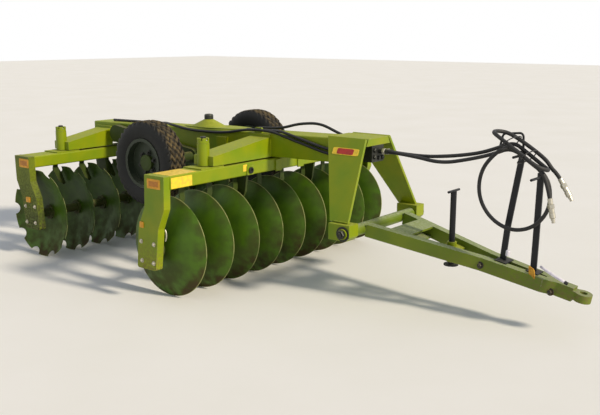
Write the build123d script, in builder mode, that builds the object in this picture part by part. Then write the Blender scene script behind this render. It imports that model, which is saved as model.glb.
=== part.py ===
import os
from math import atan2, cos, dist, hypot, pi, radians, sin, tan

from build123d import *

# Trailed offset disc harrow, in millimetres: +X forwards to the hitch, +Y to the left, +Z up.
# Sizes are given from the point on the ground midway between the two gang axles, on the centreline.

os.makedirs("parts", exist_ok=True)

# Discs
disc_diameter = 610
disc_radius = disc_diameter / 2
disc_thickness = 6
disc_dish = 85
disc_flat_radius = 56
disc_curve_radius = 560
disc_edge = 2
disc_spacing = 230
disc_count = 9
notch_count = 10
notch_radius = 45
notch_outset = 12

# Gang axles, spools and bearings
gang_offset = 690
axle_height = disc_radius
axle_square = 40
square_clearance = 0.3
spool_flange_radius = 50
spool_flange = 14
spool_waist_radius = 30
spool_end_gap = 5
bearing_clearance = 0.3
bearing_radius = 50
end_bearing_width = 36
middle_bearing_width = 14

# Gang beams
beam_width = 160
beam_height = 80
disc_headroom = 70
beam_bottom = disc_diameter + disc_headroom
beam_top = beam_bottom + beam_height
rear_drop = 52
beam_lead = 90
beam_wall = 10

# End hangers: share of the height from their foot to the beam's top, back edge and front edge
hanger_foot = axle_height - 100
hanger_edges = [
    (1, beam_lead - beam_width / 2, beam_lead + beam_width / 2),
    (0.66, 4, 164),
    (0.445, -52, 112),
    (0, -74, 83),
]
hanger_depth = 50
hanger_wall = 10
hanger_corner = 14
convex_end = 105
rim_gap = 13
concave_end = disc_dish + disc_edge + rim_gap + hanger_depth

# Middle hangers: share of the height from their foot to the beam's underside, back edge and front edge
middle_foot = axle_height - 73
middle_edges = [
    (1, 35, 145),
    (0.757, 20, 130),
    (0.491, -42, 72),
    (0, -55, 55),
]
middle_plate = 16
middle_hole_radius = 42
middle_disc_counts = (2, 5)
middle_place = 158

# Scrapers: outline below the beam's underside, from the hub along the rim side, and height over the axle
scraper_outline = [
    (146, 285),
    (104, 195),
    (62, 163),
    (46, 175),
    (77, 255),
    (104, 299),
]
scraper_top = (104, 140)
scraper_lead = 70
scraper_thickness = 8

# Gang angle pivots and sector plates
pivot_x = gang_offset + beam_lead
front_pivot_y = 630
rear_pivot_y = 500
stud_y = 630
pivot_pin_radius = 25
pivot_clearance = 0.3
base_plate = 8
base_plate_length = 190
base_plate_width = 150
base_gap = 5
post_radius = 37.5
post_height = 132
castle_nut_radius = 36
castle_nut_height = 30
castle_slot_width = 11
castle_slot_depth = 13
nut_gap = 1
sector_plate = 12
sector_half_width = 55
sector_margin = 3
sector_stud_radius = 15
sector_stud_clearance = 2
sector_nut_radius = 27
sector_nut_height = 24
front_gang_swing = 18
rear_gang_swing = 15

# Main beam and arms
arm_bottom = beam_top + base_plate + base_gap
main_half = 100
main_height = 150
main_bottom = arm_bottom + 7
main_top = main_bottom + main_height
main_wall = 10
main_rear = -905
main_front = 1400
main_bend = 1280
main_rear_drop = 42
arm_outer_top = arm_bottom + 57
arm_inner_top = arm_bottom + 127
arm_end_plate = 16
arm_end_rise = 14
left_arm_end = 520

# Tower legs, head and drawbar brackets
leg_plate = 18
head_plate = 12
leg_top = main_top + head_plate
leg_height = 450
leg_bottom = leg_top - leg_height
leg_top_rear = 1320
leg_front = 1600
leg_bottom_rear = 1482
leg_top_y = 124
leg_bottom_y = 372
head_height = 42
head_bottom = leg_top - head_height
head_front = 1604
bracket_rear = 1545
bracket_front = 1688
bracket_height = 94
bracket_bottom = leg_bottom - bracket_height
bracket_pin_depth = 60
bracket_inner_y = 322
bracket_outer_y = 412
bracket_chamfer = 24
coupling_block_rear = 1500
coupling_block_height = 100
coupling_block_bottom = head_bottom - coupling_block_height
coupling_block_half = 62

# Drawbar, drawn in its own sloping plane: distance from the hinge and offset from the centreline
hinge_x = 1645
hinge_z = 440
hinge_pin_radius = 16
hinge_clearance = 0.3
hinge_boss_radius = 30
hinge_boss = 12
hinge_tube_radius = 34
hinge_gap = 6
hitch_x = 2870
hitch_z = 216
drawbar_slope = atan2(hinge_z - hitch_z, hitch_x - hinge_x)
drawbar_length = hypot(hinge_z - hitch_z, hitch_x - hinge_x)
drawbar_height = 74
drawbar_width = 54
drawbar_line = [(hinge_tube_radius, 205), (700, 58), (1040, 34)]
drawbar_bridge = (150, 270)
drawbar_bridge_plate = 12
nose_half = 31
nose_taper = 70
hitch_ring_radius = 46
hitch_hole_radius = 20
hitch_ring_height = 44

# Parking jack
jack_x = 2110
jack_leg_radius = 17
jack_clearance = 0.3
jack_sleeve_radius = 27
jack_sleeve_bottom = 276
jack_plate = 12
jack_plate_half = 50
jack_top = 690
jack_handle_radius = 7
jack_handle_half = 62
jack_foot_top = 262
jack_foot = 8
jack_foot_radius = 42

# Hose stands: name, place of the foot, bend and top along the machine, heights of bend and top
stand_lines = [
    ("rear_hose_stand", 2422, 2441, 2505, 529, 942),
    ("front_hose_stand", 2598, 2602, 2608, 476, 834),
]
stand_width = 34
stand_plate = 10
stand_foot = 6
stand_foot_half = 34
stand_peg_radius = 7
stand_peg = 125
stand_peg_drop = 21
hook_radius = 6
hook_line = [(2505, 925), (2500, 1036), (2388, 1024), (2371, 950)]
hook_bend = 20

# Hoses of the tractor's oil supply: points along the machine, to the left, and height
hose_radius = 10.5
hose_section = pi * hose_radius**2
bend_share = 0.45
upper_hose_line = [(1664, 54, 857), (1850, 36, 849), (2060, 12, 871), (2250, -7, 906), (2358, -16, 944),
                   (2458, -25, 986)]
lower_hose_line = [(1664, 14, 862), (1840, 2, 855), (2030, -14, 832), (2210, -29, 873), (2350, -39, 914),
                   (2470, -46, 966)]
hose_loop_line = [(2472, -68, 972), (2385, -68, 935), (2300, -68, 830), (2290, -68, 690), (2362, -68, 575),
                  (2485, -68, 520), (2610, -68, 553), (2690, -68, 655), (2690, -68, 775), (2650, -68, 848)]
upper_end_line = [(2672, -24, 868), (2693, -24, 851), (2717, -24, 824), (2735, -24, 796)]
lower_end_line = [(2661, -100, 855), (2681, -100, 812), (2699, -100, 751), (2708, -100, 699)]
port_radius = 15
port_gap = 1.2
hank_ends = [(2430, 1033, 25), (2625, 897, 55)]
hank_right = -141
hank_left = -15
hank_round = 18

# Couplers: radius and how far each part of them reaches
coupler_steps = [(13, 34), (16, 74), (11, 98)]

# Oil pipes clipped along the main beam
pipe_radius = 9
pipe_lines = [
    [(-740, -45, 902), (-250, -45, 911), (-130, -70, 920), (-50, -113, 919), (150, -113, 894), (450, -113, 895),
     (680, -113, 938), (880, -113, 936), (1000, -113, 906), (1300, -113, 836), (1422, -113, 826),
     (1460, -48, 829), (1500, -48, 829)],
    [(620, -60, 928), (790, -60, 932), (880, -84, 939), (960, -113, 940), (1300, -113, 862), (1422, -113, 852),
     (1460, -48, 856), (1500, -48, 856)],
    [(620, 60, 928), (800, 78, 935), (930, 95, 972), (1090, 110, 985), (1250, 113, 925), (1422, 113, 876),
     (1460, 48, 858), (1500, 48, 858)],
]

# Pin with its cone and plate on the main beam, and the lugs at the beam's edge
cap_plate_x = 300
cap_plate_reach = 300
cap_plate_half = 96
cap_plate = 8
cap_x = 213
cap_base_reach = 140
cap_base_half = 90
cap_height = 46
cap_neck_radius = 32
cap_pin_radius = 27
cap_pin_top = 88
lug_low = (720, -100, -12)
lug_high = (780, -86, 32)
lug_hole_radius = 9
bracket_low = (405, -130, -112)
bracket_high = (490, -100, -42)

# Wheels, crank frame and lift cylinder
tyre_radius = 273
tyre_half = 76
tyre_bead_radius = 146
tyre_bead_half = 58
tyre_wall_radius = 200
tyre_shoulder_radius = 240
tyre_tread_half = 52
wheel_y = 518
rim_shell = 5
rim_flange_radius = 160
rim_flange_half = 70
rim_seat_gap = 0.5
wheel_disc_place = 14
wheel_disc = 7
hub_radius = 52
hub_inner = -85
hub_outer = 44
hub_flange_radius = 92
hub_flange = 12
hub_inner_bevel_in = 8
hub_inner_bevel_along = 20
hub_cap_bevel_in = 16
hub_cap_bevel_along = 6
stub_end_gap = 2
crank_length = 788
rock_x = -600
rock_lift = 76
rock_radius = 38
rock_clearance = 0.3
crank_drop = 97
crank_inner_y = 110
crank_thickness = 45
crank_rear_radius = 62
crank_front_radius = 50
axle_tube_radius = 32
axle_tube_gap = 17
axle_tube_half = wheel_y + hub_inner - axle_tube_gap
stub_radius = 25
stub_clearance = 0.3
stub_end = wheel_y + 28
lever_length = 130
lever_lean = 22.5
lever_gap_half = 24
lever_plate = 12
lever_radius = 30
lever_pin_radius = 12.5
lever_slot_half = 66
lever_slot_clearance = 7
anchor_setback = 153
anchor_drop = 52
anchor_side_gap = 2
anchor_neck = 6
anchor_gap_half = 16
anchor_radius = 28
anchor_pin_radius = 12.5
pin_clearance = 0.3
barrel_radius = 40
barrel_start = 46
barrel_spare = 180
rod_radius = 18
rod_start = 130
rod_clearance = 0.3
eye_radius = 38
eye_half = 18
eye_drift = 11

# The overall box on the ground puts the frame's origin under its middle
front_first_hub = -920
rear_first_hub = -685
rear_swing_radius = rear_pivot_y + stud_y
rear_reach = -pivot_x - (rear_swing_radius + sector_half_width) * sin(radians(rear_gang_swing + sector_margin))
front_reach = (
    hitch_x + hitch_ring_radius * cos(drawbar_slope) + hitch_ring_height / 2 * sin(drawbar_slope)
)
right_reach = front_first_hub - convex_end
left_reach = rear_first_hub + (disc_count - 1) * disc_spacing + convex_end
shift_x = -(rear_reach + front_reach) / 2
shift_y = -(right_reach + left_reach) / 2


def side(y):
    """A plane at y: its x runs forwards, its y up, and it faces right."""
    return Plane(origin=(shift_x, y + shift_y, 0), x_dir=(1, 0, 0), z_dir=(0, -1, 0))


def across(x):
    """A plane at x: its x runs left, its y up, and it faces forwards."""
    return Plane(origin=(x + shift_x, shift_y, 0), x_dir=(0, 1, 0), z_dir=(1, 0, 0))


def level(z):
    """A level plane at height z: its x runs forwards, its y left, and it faces up."""
    return Plane(origin=(shift_x, shift_y, z), x_dir=(1, 0, 0), z_dir=(0, 0, 1))


def drawbar_level(w):
    """A plane along the drawbar, w above its middle: its x runs from the hinge to the hitch."""
    up = (sin(drawbar_slope), 0, cos(drawbar_slope))
    origin = (hinge_x + shift_x + w * up[0], shift_y, hinge_z + w * up[2])
    return Plane(origin=origin, x_dir=(up[2], 0, -up[0]), z_dir=up)


def disc_blank(notched):
    """A dished disc about the Y axis: its flat centre starts at y = 0 and its rim lies towards +Y."""
    with BuildPart() as disc:
        with BuildSketch(Plane.XY):
            with BuildLine():
                Line((0, 0), (disc_flat_radius, 0))
                RadiusArc((disc_flat_radius, 0), (disc_radius, disc_dish), -disc_curve_radius)
                Line((disc_radius, disc_dish), (disc_radius, disc_dish + disc_edge))
                RadiusArc(
                    (disc_radius, disc_dish + disc_edge),
                    (disc_flat_radius, disc_thickness),
                    disc_curve_radius,
                )
                Line((disc_flat_radius, disc_thickness), (0, disc_thickness))
                Line((0, disc_thickness), (0, 0))
            make_face()
        revolve(axis=Axis.Y)
        with BuildSketch(Plane.XZ):
            Rectangle(axle_square + 2 * square_clearance, axle_square + 2 * square_clearance)
        extrude(amount=disc_dish, both=True, mode=Mode.SUBTRACT)
        if notched:
            with BuildSketch(Plane.XZ):
                with PolarLocations(disc_radius + notch_outset, notch_count):
                    Circle(notch_radius)
            extrude(amount=2 * disc_dish, both=True, mode=Mode.SUBTRACT)
    return disc.part


def ring(y_low, y_high, outer, inner, x, z):
    """A round bar or sleeve about a line along Y."""
    with BuildPart() as sleeve:
        with BuildSketch(side(y_high)):
            with Locations((x, z)):
                Circle(outer)
                if inner > 0:
                    Circle(inner, mode=Mode.SUBTRACT)
        extrude(amount=y_high - y_low)
    return sleeve.part


def square_bar(y_low, y_high, width, x, z):
    """A square bar along Y."""
    with BuildPart() as bar:
        with BuildSketch(side(y_high)):
            with Locations((x, z)):
                Rectangle(width, width)
        extrude(amount=y_high - y_low)
    return bar.part


def edge_points(edges, foot, top, axle_x, ahead):
    """The outline of a hanger from its foot to its top: down its back edge and up its front edge."""
    back = [(axle_x + ahead * row[1], foot + row[0] * (top - foot)) for row in edges]
    front = [(axle_x + ahead * row[2], foot + row[0] * (top - foot)) for row in reversed(edges)]
    return back + front


def main_top_at(x):
    """The height of the main beam's top: level at the front, and falling behind the bend."""
    return main_top - main_rear_drop * max(main_bend - x, 0) / (main_bend - main_rear)


def tube(points, radius, name):
    """A round tube along straight runs with an arc at each turn, as wide as the shorter run allows."""
    corners = [(x + shift_x, y + shift_y, z) for x, y, z in points]
    bends = []
    for before, corner, after in zip(corners, corners[1:], corners[2:]):
        way_in = Vector(*corner) - Vector(*before)
        way_out = Vector(*after) - Vector(*corner)
        half_turn = radians(way_in.get_angle(way_out)) / 2
        bends.append(bend_share * min(way_in.length, way_out.length) / tan(half_turn))
    print(name, "bend radii", [round(bend) for bend in bends])
    with BuildPart() as bent:
        with BuildLine() as route:
            FilletPolyline(*corners, radius=bends)
        path = route.wire()
        with BuildSketch(Plane(origin=path @ 0, z_dir=path % 0)):
            Circle(radius)
        sweep(path=path)
    share = bent.part.volume / (pi * radius**2 * path.length)
    print(name, "length", round(path.length), "volume share", round(share, 3))
    return bent.part


# Gangs: name, where the beam lies from the axle, where the rims lie from the hubs, first hub, swing,
# how far the pivot lies to the right, and how far the gang's beam lies below the front one's
gangs = [
    ("front", 1, 1, front_first_hub, front_gang_swing, front_pivot_y, 0),
    ("rear", -1, -1, rear_first_hub, rear_gang_swing, rear_pivot_y, rear_drop),
]

for name, ahead, rims, first_hub, swing, pivot_y, drop in gangs:
    axle_x = ahead * gang_offset
    gang_bottom = beam_bottom - drop
    gang_top = beam_top - drop
    plate_bottom = arm_bottom - drop
    hubs = [first_hub + number * disc_spacing for number in range(disc_count)]
    right_end = hubs[0] - (convex_end if rims > 0 else concave_end)
    left_end = hubs[-1] + (concave_end if rims > 0 else convex_end)

    # Discs: the front ones plain with their hollow side to the left, the rear ones notched, to the right
    blank = disc_blank(notched=rims < 0)
    if rims < 0:
        blank = mirror(blank, about=Plane.XZ)
    with BuildPart() as discs:
        with Locations([(axle_x + shift_x, hub + shift_y, axle_height) for hub in hubs]):
            add(blank)
    discs.part.label = name + "_discs"
    export_step(discs.part, "parts/" + name + "_discs.step")

    # Square axle through the discs and spools
    shaft_right = right_end + hanger_wall + spool_end_gap
    shaft_left = left_end - hanger_wall - spool_end_gap
    with BuildPart() as axle:
        add(square_bar(shaft_right, shaft_left, axle_square, axle_x, axle_height))
    axle.part.label = name + "_axle"
    export_step(axle.part, "parts/" + name + "_axle.step")

    # Spools clamp the flat centres of the discs, and their waists turn in the bearings
    flats = [(hub, hub + disc_thickness) if rims > 0 else (hub - disc_thickness, hub) for hub in hubs]
    stretches = [(shaft_right, flats[0][0], False, True)]
    for number in range(disc_count - 1):
        stretches.append((flats[number][1], flats[number + 1][0], True, True))
    stretches.append((flats[-1][1], shaft_left, True, False))
    with BuildPart() as spools:
        for low, high, low_flange, high_flange in stretches:
            add(ring(low, high, spool_waist_radius, 0, axle_x, axle_height))
            if low_flange:
                add(ring(low, low + spool_flange, spool_flange_radius, 0, axle_x, axle_height))
            if high_flange:
                add(ring(high - spool_flange, high, spool_flange_radius, 0, axle_x, axle_height))
        hole_width = axle_square + 2 * square_clearance
        add(square_bar(shaft_right, shaft_left, hole_width, axle_x, axle_height), mode=Mode.SUBTRACT)
    spools.part.label = name + "_spools"
    export_step(spools.part, "parts/" + name + "_spools.step")

    # Gang beam with the base plates of its pivot and of its sector stud
    beam_x = axle_x + ahead * beam_lead
    with BuildPart() as beam:
        with BuildSketch(side(left_end - hanger_depth)):
            with Locations((beam_x, (gang_bottom + gang_top) / 2)):
                Rectangle(beam_width, beam_height)
        extrude(amount=left_end - right_end - 2 * hanger_depth)
        fillet(beam.edges().filter_by(Axis.Y), beam_wall)
        with BuildSketch(level(gang_top)):
            with Locations((beam_x, -pivot_y), (beam_x, stud_y)):
                Rectangle(base_plate_width, base_plate_length)
        extrude(amount=base_plate)
    beam.part.label = name + "_gang_beam"
    export_step(beam.part, "parts/" + name + "_gang_beam.step")

    # End hangers: tapered channels, open on the inside below the beam
    with BuildPart() as hangers:
        for outer_face in (right_end, left_end - hanger_depth):
            with BuildSketch(side(outer_face + hanger_depth)):
                Polygon(*edge_points(hanger_edges, hanger_foot, gang_top, axle_x, ahead), align=None)
            extrude(amount=hanger_depth)
        fillet(
            hangers.edges().filter_by(Axis.Y).filter_by(lambda edge: edge.center().Z < hanger_foot + 1),
            hanger_corner,
        )
        for pocket_left in (right_end + hanger_depth, left_end - hanger_wall):
            with BuildSketch(side(pocket_left)):
                Polygon(*edge_points(hanger_edges, hanger_foot, gang_top, axle_x, ahead), align=None)
                offset(amount=-hanger_wall, mode=Mode.REPLACE)
                with Locations((beam_x, gang_top)):
                    Rectangle(3 * beam_width, 2 * (beam_height + hanger_wall), mode=Mode.SUBTRACT)
            extrude(amount=hanger_depth - hanger_wall, mode=Mode.SUBTRACT)
    hangers.part.label = name + "_end_hangers"
    export_step(hangers.part, "parts/" + name + "_end_hangers.step")

    # Middle hangers: plates between the discs
    gaps = [hubs[number + 1] - disc_spacing + middle_place if rims > 0 else hubs[number + 1] - middle_place
            for number in middle_disc_counts]
    with BuildPart() as middle_hangers:
        for place in gaps:
            with BuildSketch(side(place + middle_plate / 2)):
                Polygon(*edge_points(middle_edges, middle_foot, gang_bottom, axle_x, ahead), align=None)
                with Locations((axle_x, axle_height)):
                    Circle(middle_hole_radius, mode=Mode.SUBTRACT)
            extrude(amount=middle_plate)
    middle_hangers.part.label = name + "_middle_hangers"
    export_step(middle_hangers.part, "parts/" + name + "_middle_hangers.step")

    # Bearing housings: one in each end hanger, and one on each side of a middle hanger
    housings = [(right_end + hanger_wall, right_end + hanger_wall + end_bearing_width)]
    housings.append((left_end - hanger_wall - end_bearing_width, left_end - hanger_wall))
    for place in gaps:
        housings.append((place - middle_plate / 2 - middle_bearing_width, place - middle_plate / 2))
        housings.append((place + middle_plate / 2, place + middle_plate / 2 + middle_bearing_width))
    with BuildPart() as bearings:
        for low, high in housings:
            add(ring(low, high, bearing_radius, spool_waist_radius + bearing_clearance, axle_x, axle_height))
    bearings.part.label = name + "_bearings"
    export_step(bearings.part, "parts/" + name + "_bearings.step")

    # Scrapers hang from the beam and reach into the hollow side of each disc
    scraped = hubs[:-1] if rims > 0 else hubs[1:]
    blade = [(along, gang_bottom) for along in scraper_top]
    blade += [(along, axle_height + rise) for along, rise in scraper_outline]
    with BuildPart() as scrapers:
        for hub in scraped:
            with BuildSketch(across(axle_x + ahead * scraper_lead)):
                Polygon(*[(hub + rims * along, height) for along, height in blade], align=None)
            extrude(amount=scraper_thickness / 2, both=True)
    scrapers.part.label = name + "_scrapers"
    export_step(scrapers.part, "parts/" + name + "_scrapers.step")

    # Pivot pin with its castle nut on the right, and the sector stud with its nut on the left
    base_top = gang_top + base_plate
    post_top = plate_bottom + post_height
    sector_top = plate_bottom + sector_plate
    with BuildPart() as pins:
        with BuildSketch(level(base_top)):
            with Locations((beam_x, -pivot_y)):
                Circle(pivot_pin_radius)
        extrude(amount=post_top + nut_gap - base_top)
        with BuildSketch(level(post_top + nut_gap)):
            with Locations((beam_x, -pivot_y)):
                Circle(castle_nut_radius)
        extrude(amount=castle_nut_height)
        with BuildSketch(level(post_top + nut_gap + castle_nut_height)):
            for turn in (0, 60, 120):
                with Locations((beam_x, -pivot_y)):
                    Rectangle(3 * castle_nut_radius, castle_slot_width, rotation=turn)
        extrude(amount=-castle_slot_depth, mode=Mode.SUBTRACT)
        with BuildSketch(level(base_top)):
            with Locations((beam_x, stud_y)):
                Circle(sector_stud_radius)
        extrude(amount=sector_top + sector_stud_clearance - base_top)
        with BuildSketch(level(sector_top + sector_stud_clearance)):
            with Locations((beam_x, stud_y)):
                RegularPolygon(sector_nut_radius, 6)
        extrude(amount=sector_nut_height)
    pins.part.label = name + "_pivot_pins"
    export_step(pins.part, "parts/" + name + "_pivot_pins.step")

    # Right arm with the post that the pivot pin turns in
    outer_top = arm_outer_top - drop
    inner_top = arm_inner_top - drop
    end_top = inner_top + arm_end_rise
    arm_right = [(-main_half, plate_bottom), (-pivot_y, plate_bottom), (-pivot_y, outer_top),
                 (-main_half, inner_top)]
    with BuildPart() as right_arm:
        with BuildSketch(across(beam_x - beam_width / 2)):
            Polygon(*arm_right, align=None)
        extrude(amount=beam_width)
        with BuildSketch(across(beam_x - beam_width / 2)):
            with Locations((-main_half - arm_end_plate / 2, (plate_bottom + end_top) / 2)):
                Rectangle(arm_end_plate, end_top - plate_bottom)
        extrude(amount=beam_width)
        with BuildSketch(level(plate_bottom)):
            with Locations((beam_x, -pivot_y)):
                Circle(post_radius)
        extrude(amount=post_height)
        with BuildSketch(level(plate_bottom)):
            with Locations((beam_x, -pivot_y)):
                Circle(pivot_pin_radius + pivot_clearance)
        extrude(amount=post_height, mode=Mode.SUBTRACT)
    right_arm.part.label = name + "_right_arm"
    export_step(right_arm.part, "parts/" + name + "_right_arm.step")

    # Left arm with the slotted sector plate that the gang beam's stud runs in
    swing_radius = pivot_y + stud_y
    arm_slope = (inner_top - outer_top) / (pivot_y - main_half)
    left_outer_top = inner_top - arm_slope * (left_arm_end - main_half)
    arm_left = [(main_half, plate_bottom), (left_arm_end, plate_bottom), (left_arm_end, left_outer_top),
                (main_half, inner_top)]
    start_turn = 90 - ahead * (swing + sector_margin) if ahead > 0 else 90 - sector_margin
    sweep_turn = swing + 2 * sector_margin
    slot_start = 90 - swing if ahead > 0 else 90
    with BuildPart() as left_arm:
        with BuildSketch(across(beam_x - beam_width / 2)):
            Polygon(*arm_left, align=None)
        extrude(amount=beam_width)
        with BuildSketch(across(beam_x - beam_width / 2)):
            with Locations((main_half + arm_end_plate / 2, (plate_bottom + end_top) / 2)):
                Rectangle(arm_end_plate, end_top - plate_bottom)
        extrude(amount=beam_width)
        with BuildSketch(level(plate_bottom)):
            with BuildLine():
                outer = CenterArc((beam_x, -pivot_y), swing_radius + sector_half_width, start_turn, sweep_turn)
                inner = CenterArc((beam_x, -pivot_y), left_arm_end + pivot_y - sector_half_width, start_turn,
                                  sweep_turn)
                Line(outer @ 0, inner @ 0)
                Line(outer @ 1, inner @ 1)
            make_face()
            with BuildLine(mode=Mode.PRIVATE):
                middle = CenterArc((beam_x, -pivot_y), swing_radius, slot_start, swing, mode=Mode.PRIVATE)
            SlotArc(middle, 2 * (sector_stud_radius + sector_stud_clearance), mode=Mode.SUBTRACT)
        extrude(amount=sector_plate)
    left_arm.part.label = name + "_left_arm"
    export_step(left_arm.part, "parts/" + name + "_left_arm.step")

# Main beam: a hollow box with closed ends that falls to the rear behind its bend, bored for the rock
# shaft and slotted below for the lift lever
main_side = [
    (main_rear, main_top_at(main_rear) - main_height),
    (main_bend, main_bottom),
    (main_front, main_bottom),
    (main_front, main_top),
    (main_bend, main_top),
    (main_rear, main_top_at(main_rear)),
]
rock_z = main_top_at(rock_x) - rock_lift
slot_bottom = main_top_at(rock_x) - main_height - main_wall / 2
with BuildPart() as main_beam:
    with BuildSketch(side(main_half)):
        Polygon(*main_side, align=None)
    extrude(amount=2 * main_half)
    fillet(main_beam.edges().filter_by(lambda edge: abs((edge % 0.5).X) > 0.9), main_wall)
    with BuildSketch(side(main_half - main_wall)):
        Polygon(*main_side, align=None)
        offset(amount=-main_wall, mode=Mode.REPLACE)
    extrude(amount=2 * (main_half - main_wall), mode=Mode.SUBTRACT)
    with BuildSketch(side(main_half)):
        with Locations((rock_x, rock_z)):
            Circle(rock_radius + rock_clearance)
    extrude(amount=2 * main_half, mode=Mode.SUBTRACT)
    with BuildSketch(level(slot_bottom)):
        with Locations((rock_x, 0)):
            Rectangle(2 * lever_slot_half, 2 * (lever_gap_half + lever_plate + lever_slot_clearance))
    extrude(amount=2 * main_wall, mode=Mode.SUBTRACT)
main_beam.part.label = "main_beam"
export_step(main_beam.part, "parts/main_beam.step")

# Plate on the main beam with a cone and the pin through it
cap_slope = atan2(main_rear_drop, main_bend - main_rear)


def main_level(x, rise):
    """A plane along the main beam's top behind its bend: its origin at x, and the rise above it."""
    up = (-sin(cap_slope), 0, cos(cap_slope))
    origin = (x + shift_x + rise * up[0], shift_y, main_top_at(x) + rise * up[2])
    return Plane(origin=origin, x_dir=(up[2], 0, -up[0]), z_dir=up)


with BuildPart() as beam_cap:
    with BuildSketch(main_level(cap_plate_x, 0)):
        Ellipse(cap_plate_reach, cap_plate_half)
    extrude(amount=cap_plate)
    with BuildSketch(main_level(cap_x, cap_plate)):
        Ellipse(cap_base_reach, cap_base_half)
    with BuildSketch(main_level(cap_x, cap_plate + cap_height)):
        Circle(cap_neck_radius)
    loft()
    with BuildSketch(main_level(cap_x, cap_plate + cap_height)):
        Circle(cap_pin_radius)
    extrude(amount=cap_pin_top - cap_plate - cap_height)
beam_cap.part.label = "beam_pin_cap"
export_step(beam_cap.part, "parts/beam_pin_cap.step")

# Lug on the edge of the main beam, and the bracket on its side
with BuildPart() as beam_lugs:
    with BuildSketch(side(lug_high[1])):
        with Locations(((lug_low[0] + lug_high[0]) / 2, main_top_at(lug_low[0]) + (lug_low[2] + lug_high[2]) / 2)):
            RectangleRounded(lug_high[0] - lug_low[0], lug_high[2] - lug_low[2], lug_hole_radius)
        with Locations(((lug_low[0] + lug_high[0]) / 2, main_top_at(lug_low[0]) + lug_high[2] / 2)):
            Circle(lug_hole_radius, mode=Mode.SUBTRACT)
    extrude(amount=lug_high[1] - lug_low[1])
    add(main_beam.part, mode=Mode.SUBTRACT)
    with BuildSketch(side(bracket_high[1])):
        with Locations(((bracket_low[0] + bracket_high[0]) / 2,
                        main_top_at(bracket_low[0]) + (bracket_low[2] + bracket_high[2]) / 2)):
            Rectangle(bracket_high[0] - bracket_low[0], bracket_high[2] - bracket_low[2])
    extrude(amount=bracket_high[1] - bracket_low[1])
beam_lugs.part.label = "beam_lugs"
export_step(beam_lugs.part, "parts/beam_lugs.step")

# Oil pipes clipped along the main beam
with BuildPart() as oil_pipes:
    for number, points in enumerate(pipe_lines):
        add(tube(points, pipe_radius, "oil pipe " + str(number + 1)))
oil_pipes.part.label = "oil_pipes"
export_step(oil_pipes.part, "parts/oil_pipes.step")

# Rock shaft through the beam, with the two lever plates and their pin
lever_turn = radians(lever_lean)
lever_pin_x = rock_x + lever_length * sin(lever_turn)
lever_pin_z = rock_z - lever_length * cos(lever_turn)
with BuildPart() as rock_shaft:
    add(ring(-crank_inner_y, crank_inner_y, rock_radius, 0, rock_x, rock_z))
    for low in (-lever_gap_half - lever_plate, lever_gap_half):
        with BuildSketch(side(low + lever_plate)):
            with Locations(((rock_x + lever_pin_x) / 2, (rock_z + lever_pin_z) / 2)):
                SlotCenterToCenter(lever_length, 2 * lever_radius, rotation=lever_lean - 90)
        extrude(amount=lever_plate)
    lever_outer = lever_gap_half + lever_plate
    add(ring(-lever_outer, lever_outer, lever_pin_radius, 0, lever_pin_x, lever_pin_z))
rock_shaft.part.label = "rock_shaft"
export_step(rock_shaft.part, "parts/rock_shaft.step")

# Crank frame: two tapered arms beside the beam and the axle tube with its wheel stubs
wheel_x = rock_x + (crank_length**2 - crank_drop**2) ** 0.5
wheel_z = rock_z - crank_drop
with BuildPart() as crank_frame:
    for outer in (crank_inner_y + crank_thickness, -crank_inner_y):
        with BuildSketch(side(outer)):
            with Locations((rock_x, rock_z)):
                Circle(crank_rear_radius)
            with Locations((wheel_x, wheel_z)):
                Circle(crank_front_radius)
            make_hull()
        extrude(amount=crank_thickness)
    add(ring(-axle_tube_half, axle_tube_half, axle_tube_radius, 0, wheel_x, wheel_z))
    add(ring(-stub_end, stub_end, stub_radius, 0, wheel_x, wheel_z))
crank_frame.part.label = "crank_frame"
export_step(crank_frame.part, "parts/crank_frame.step")

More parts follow.
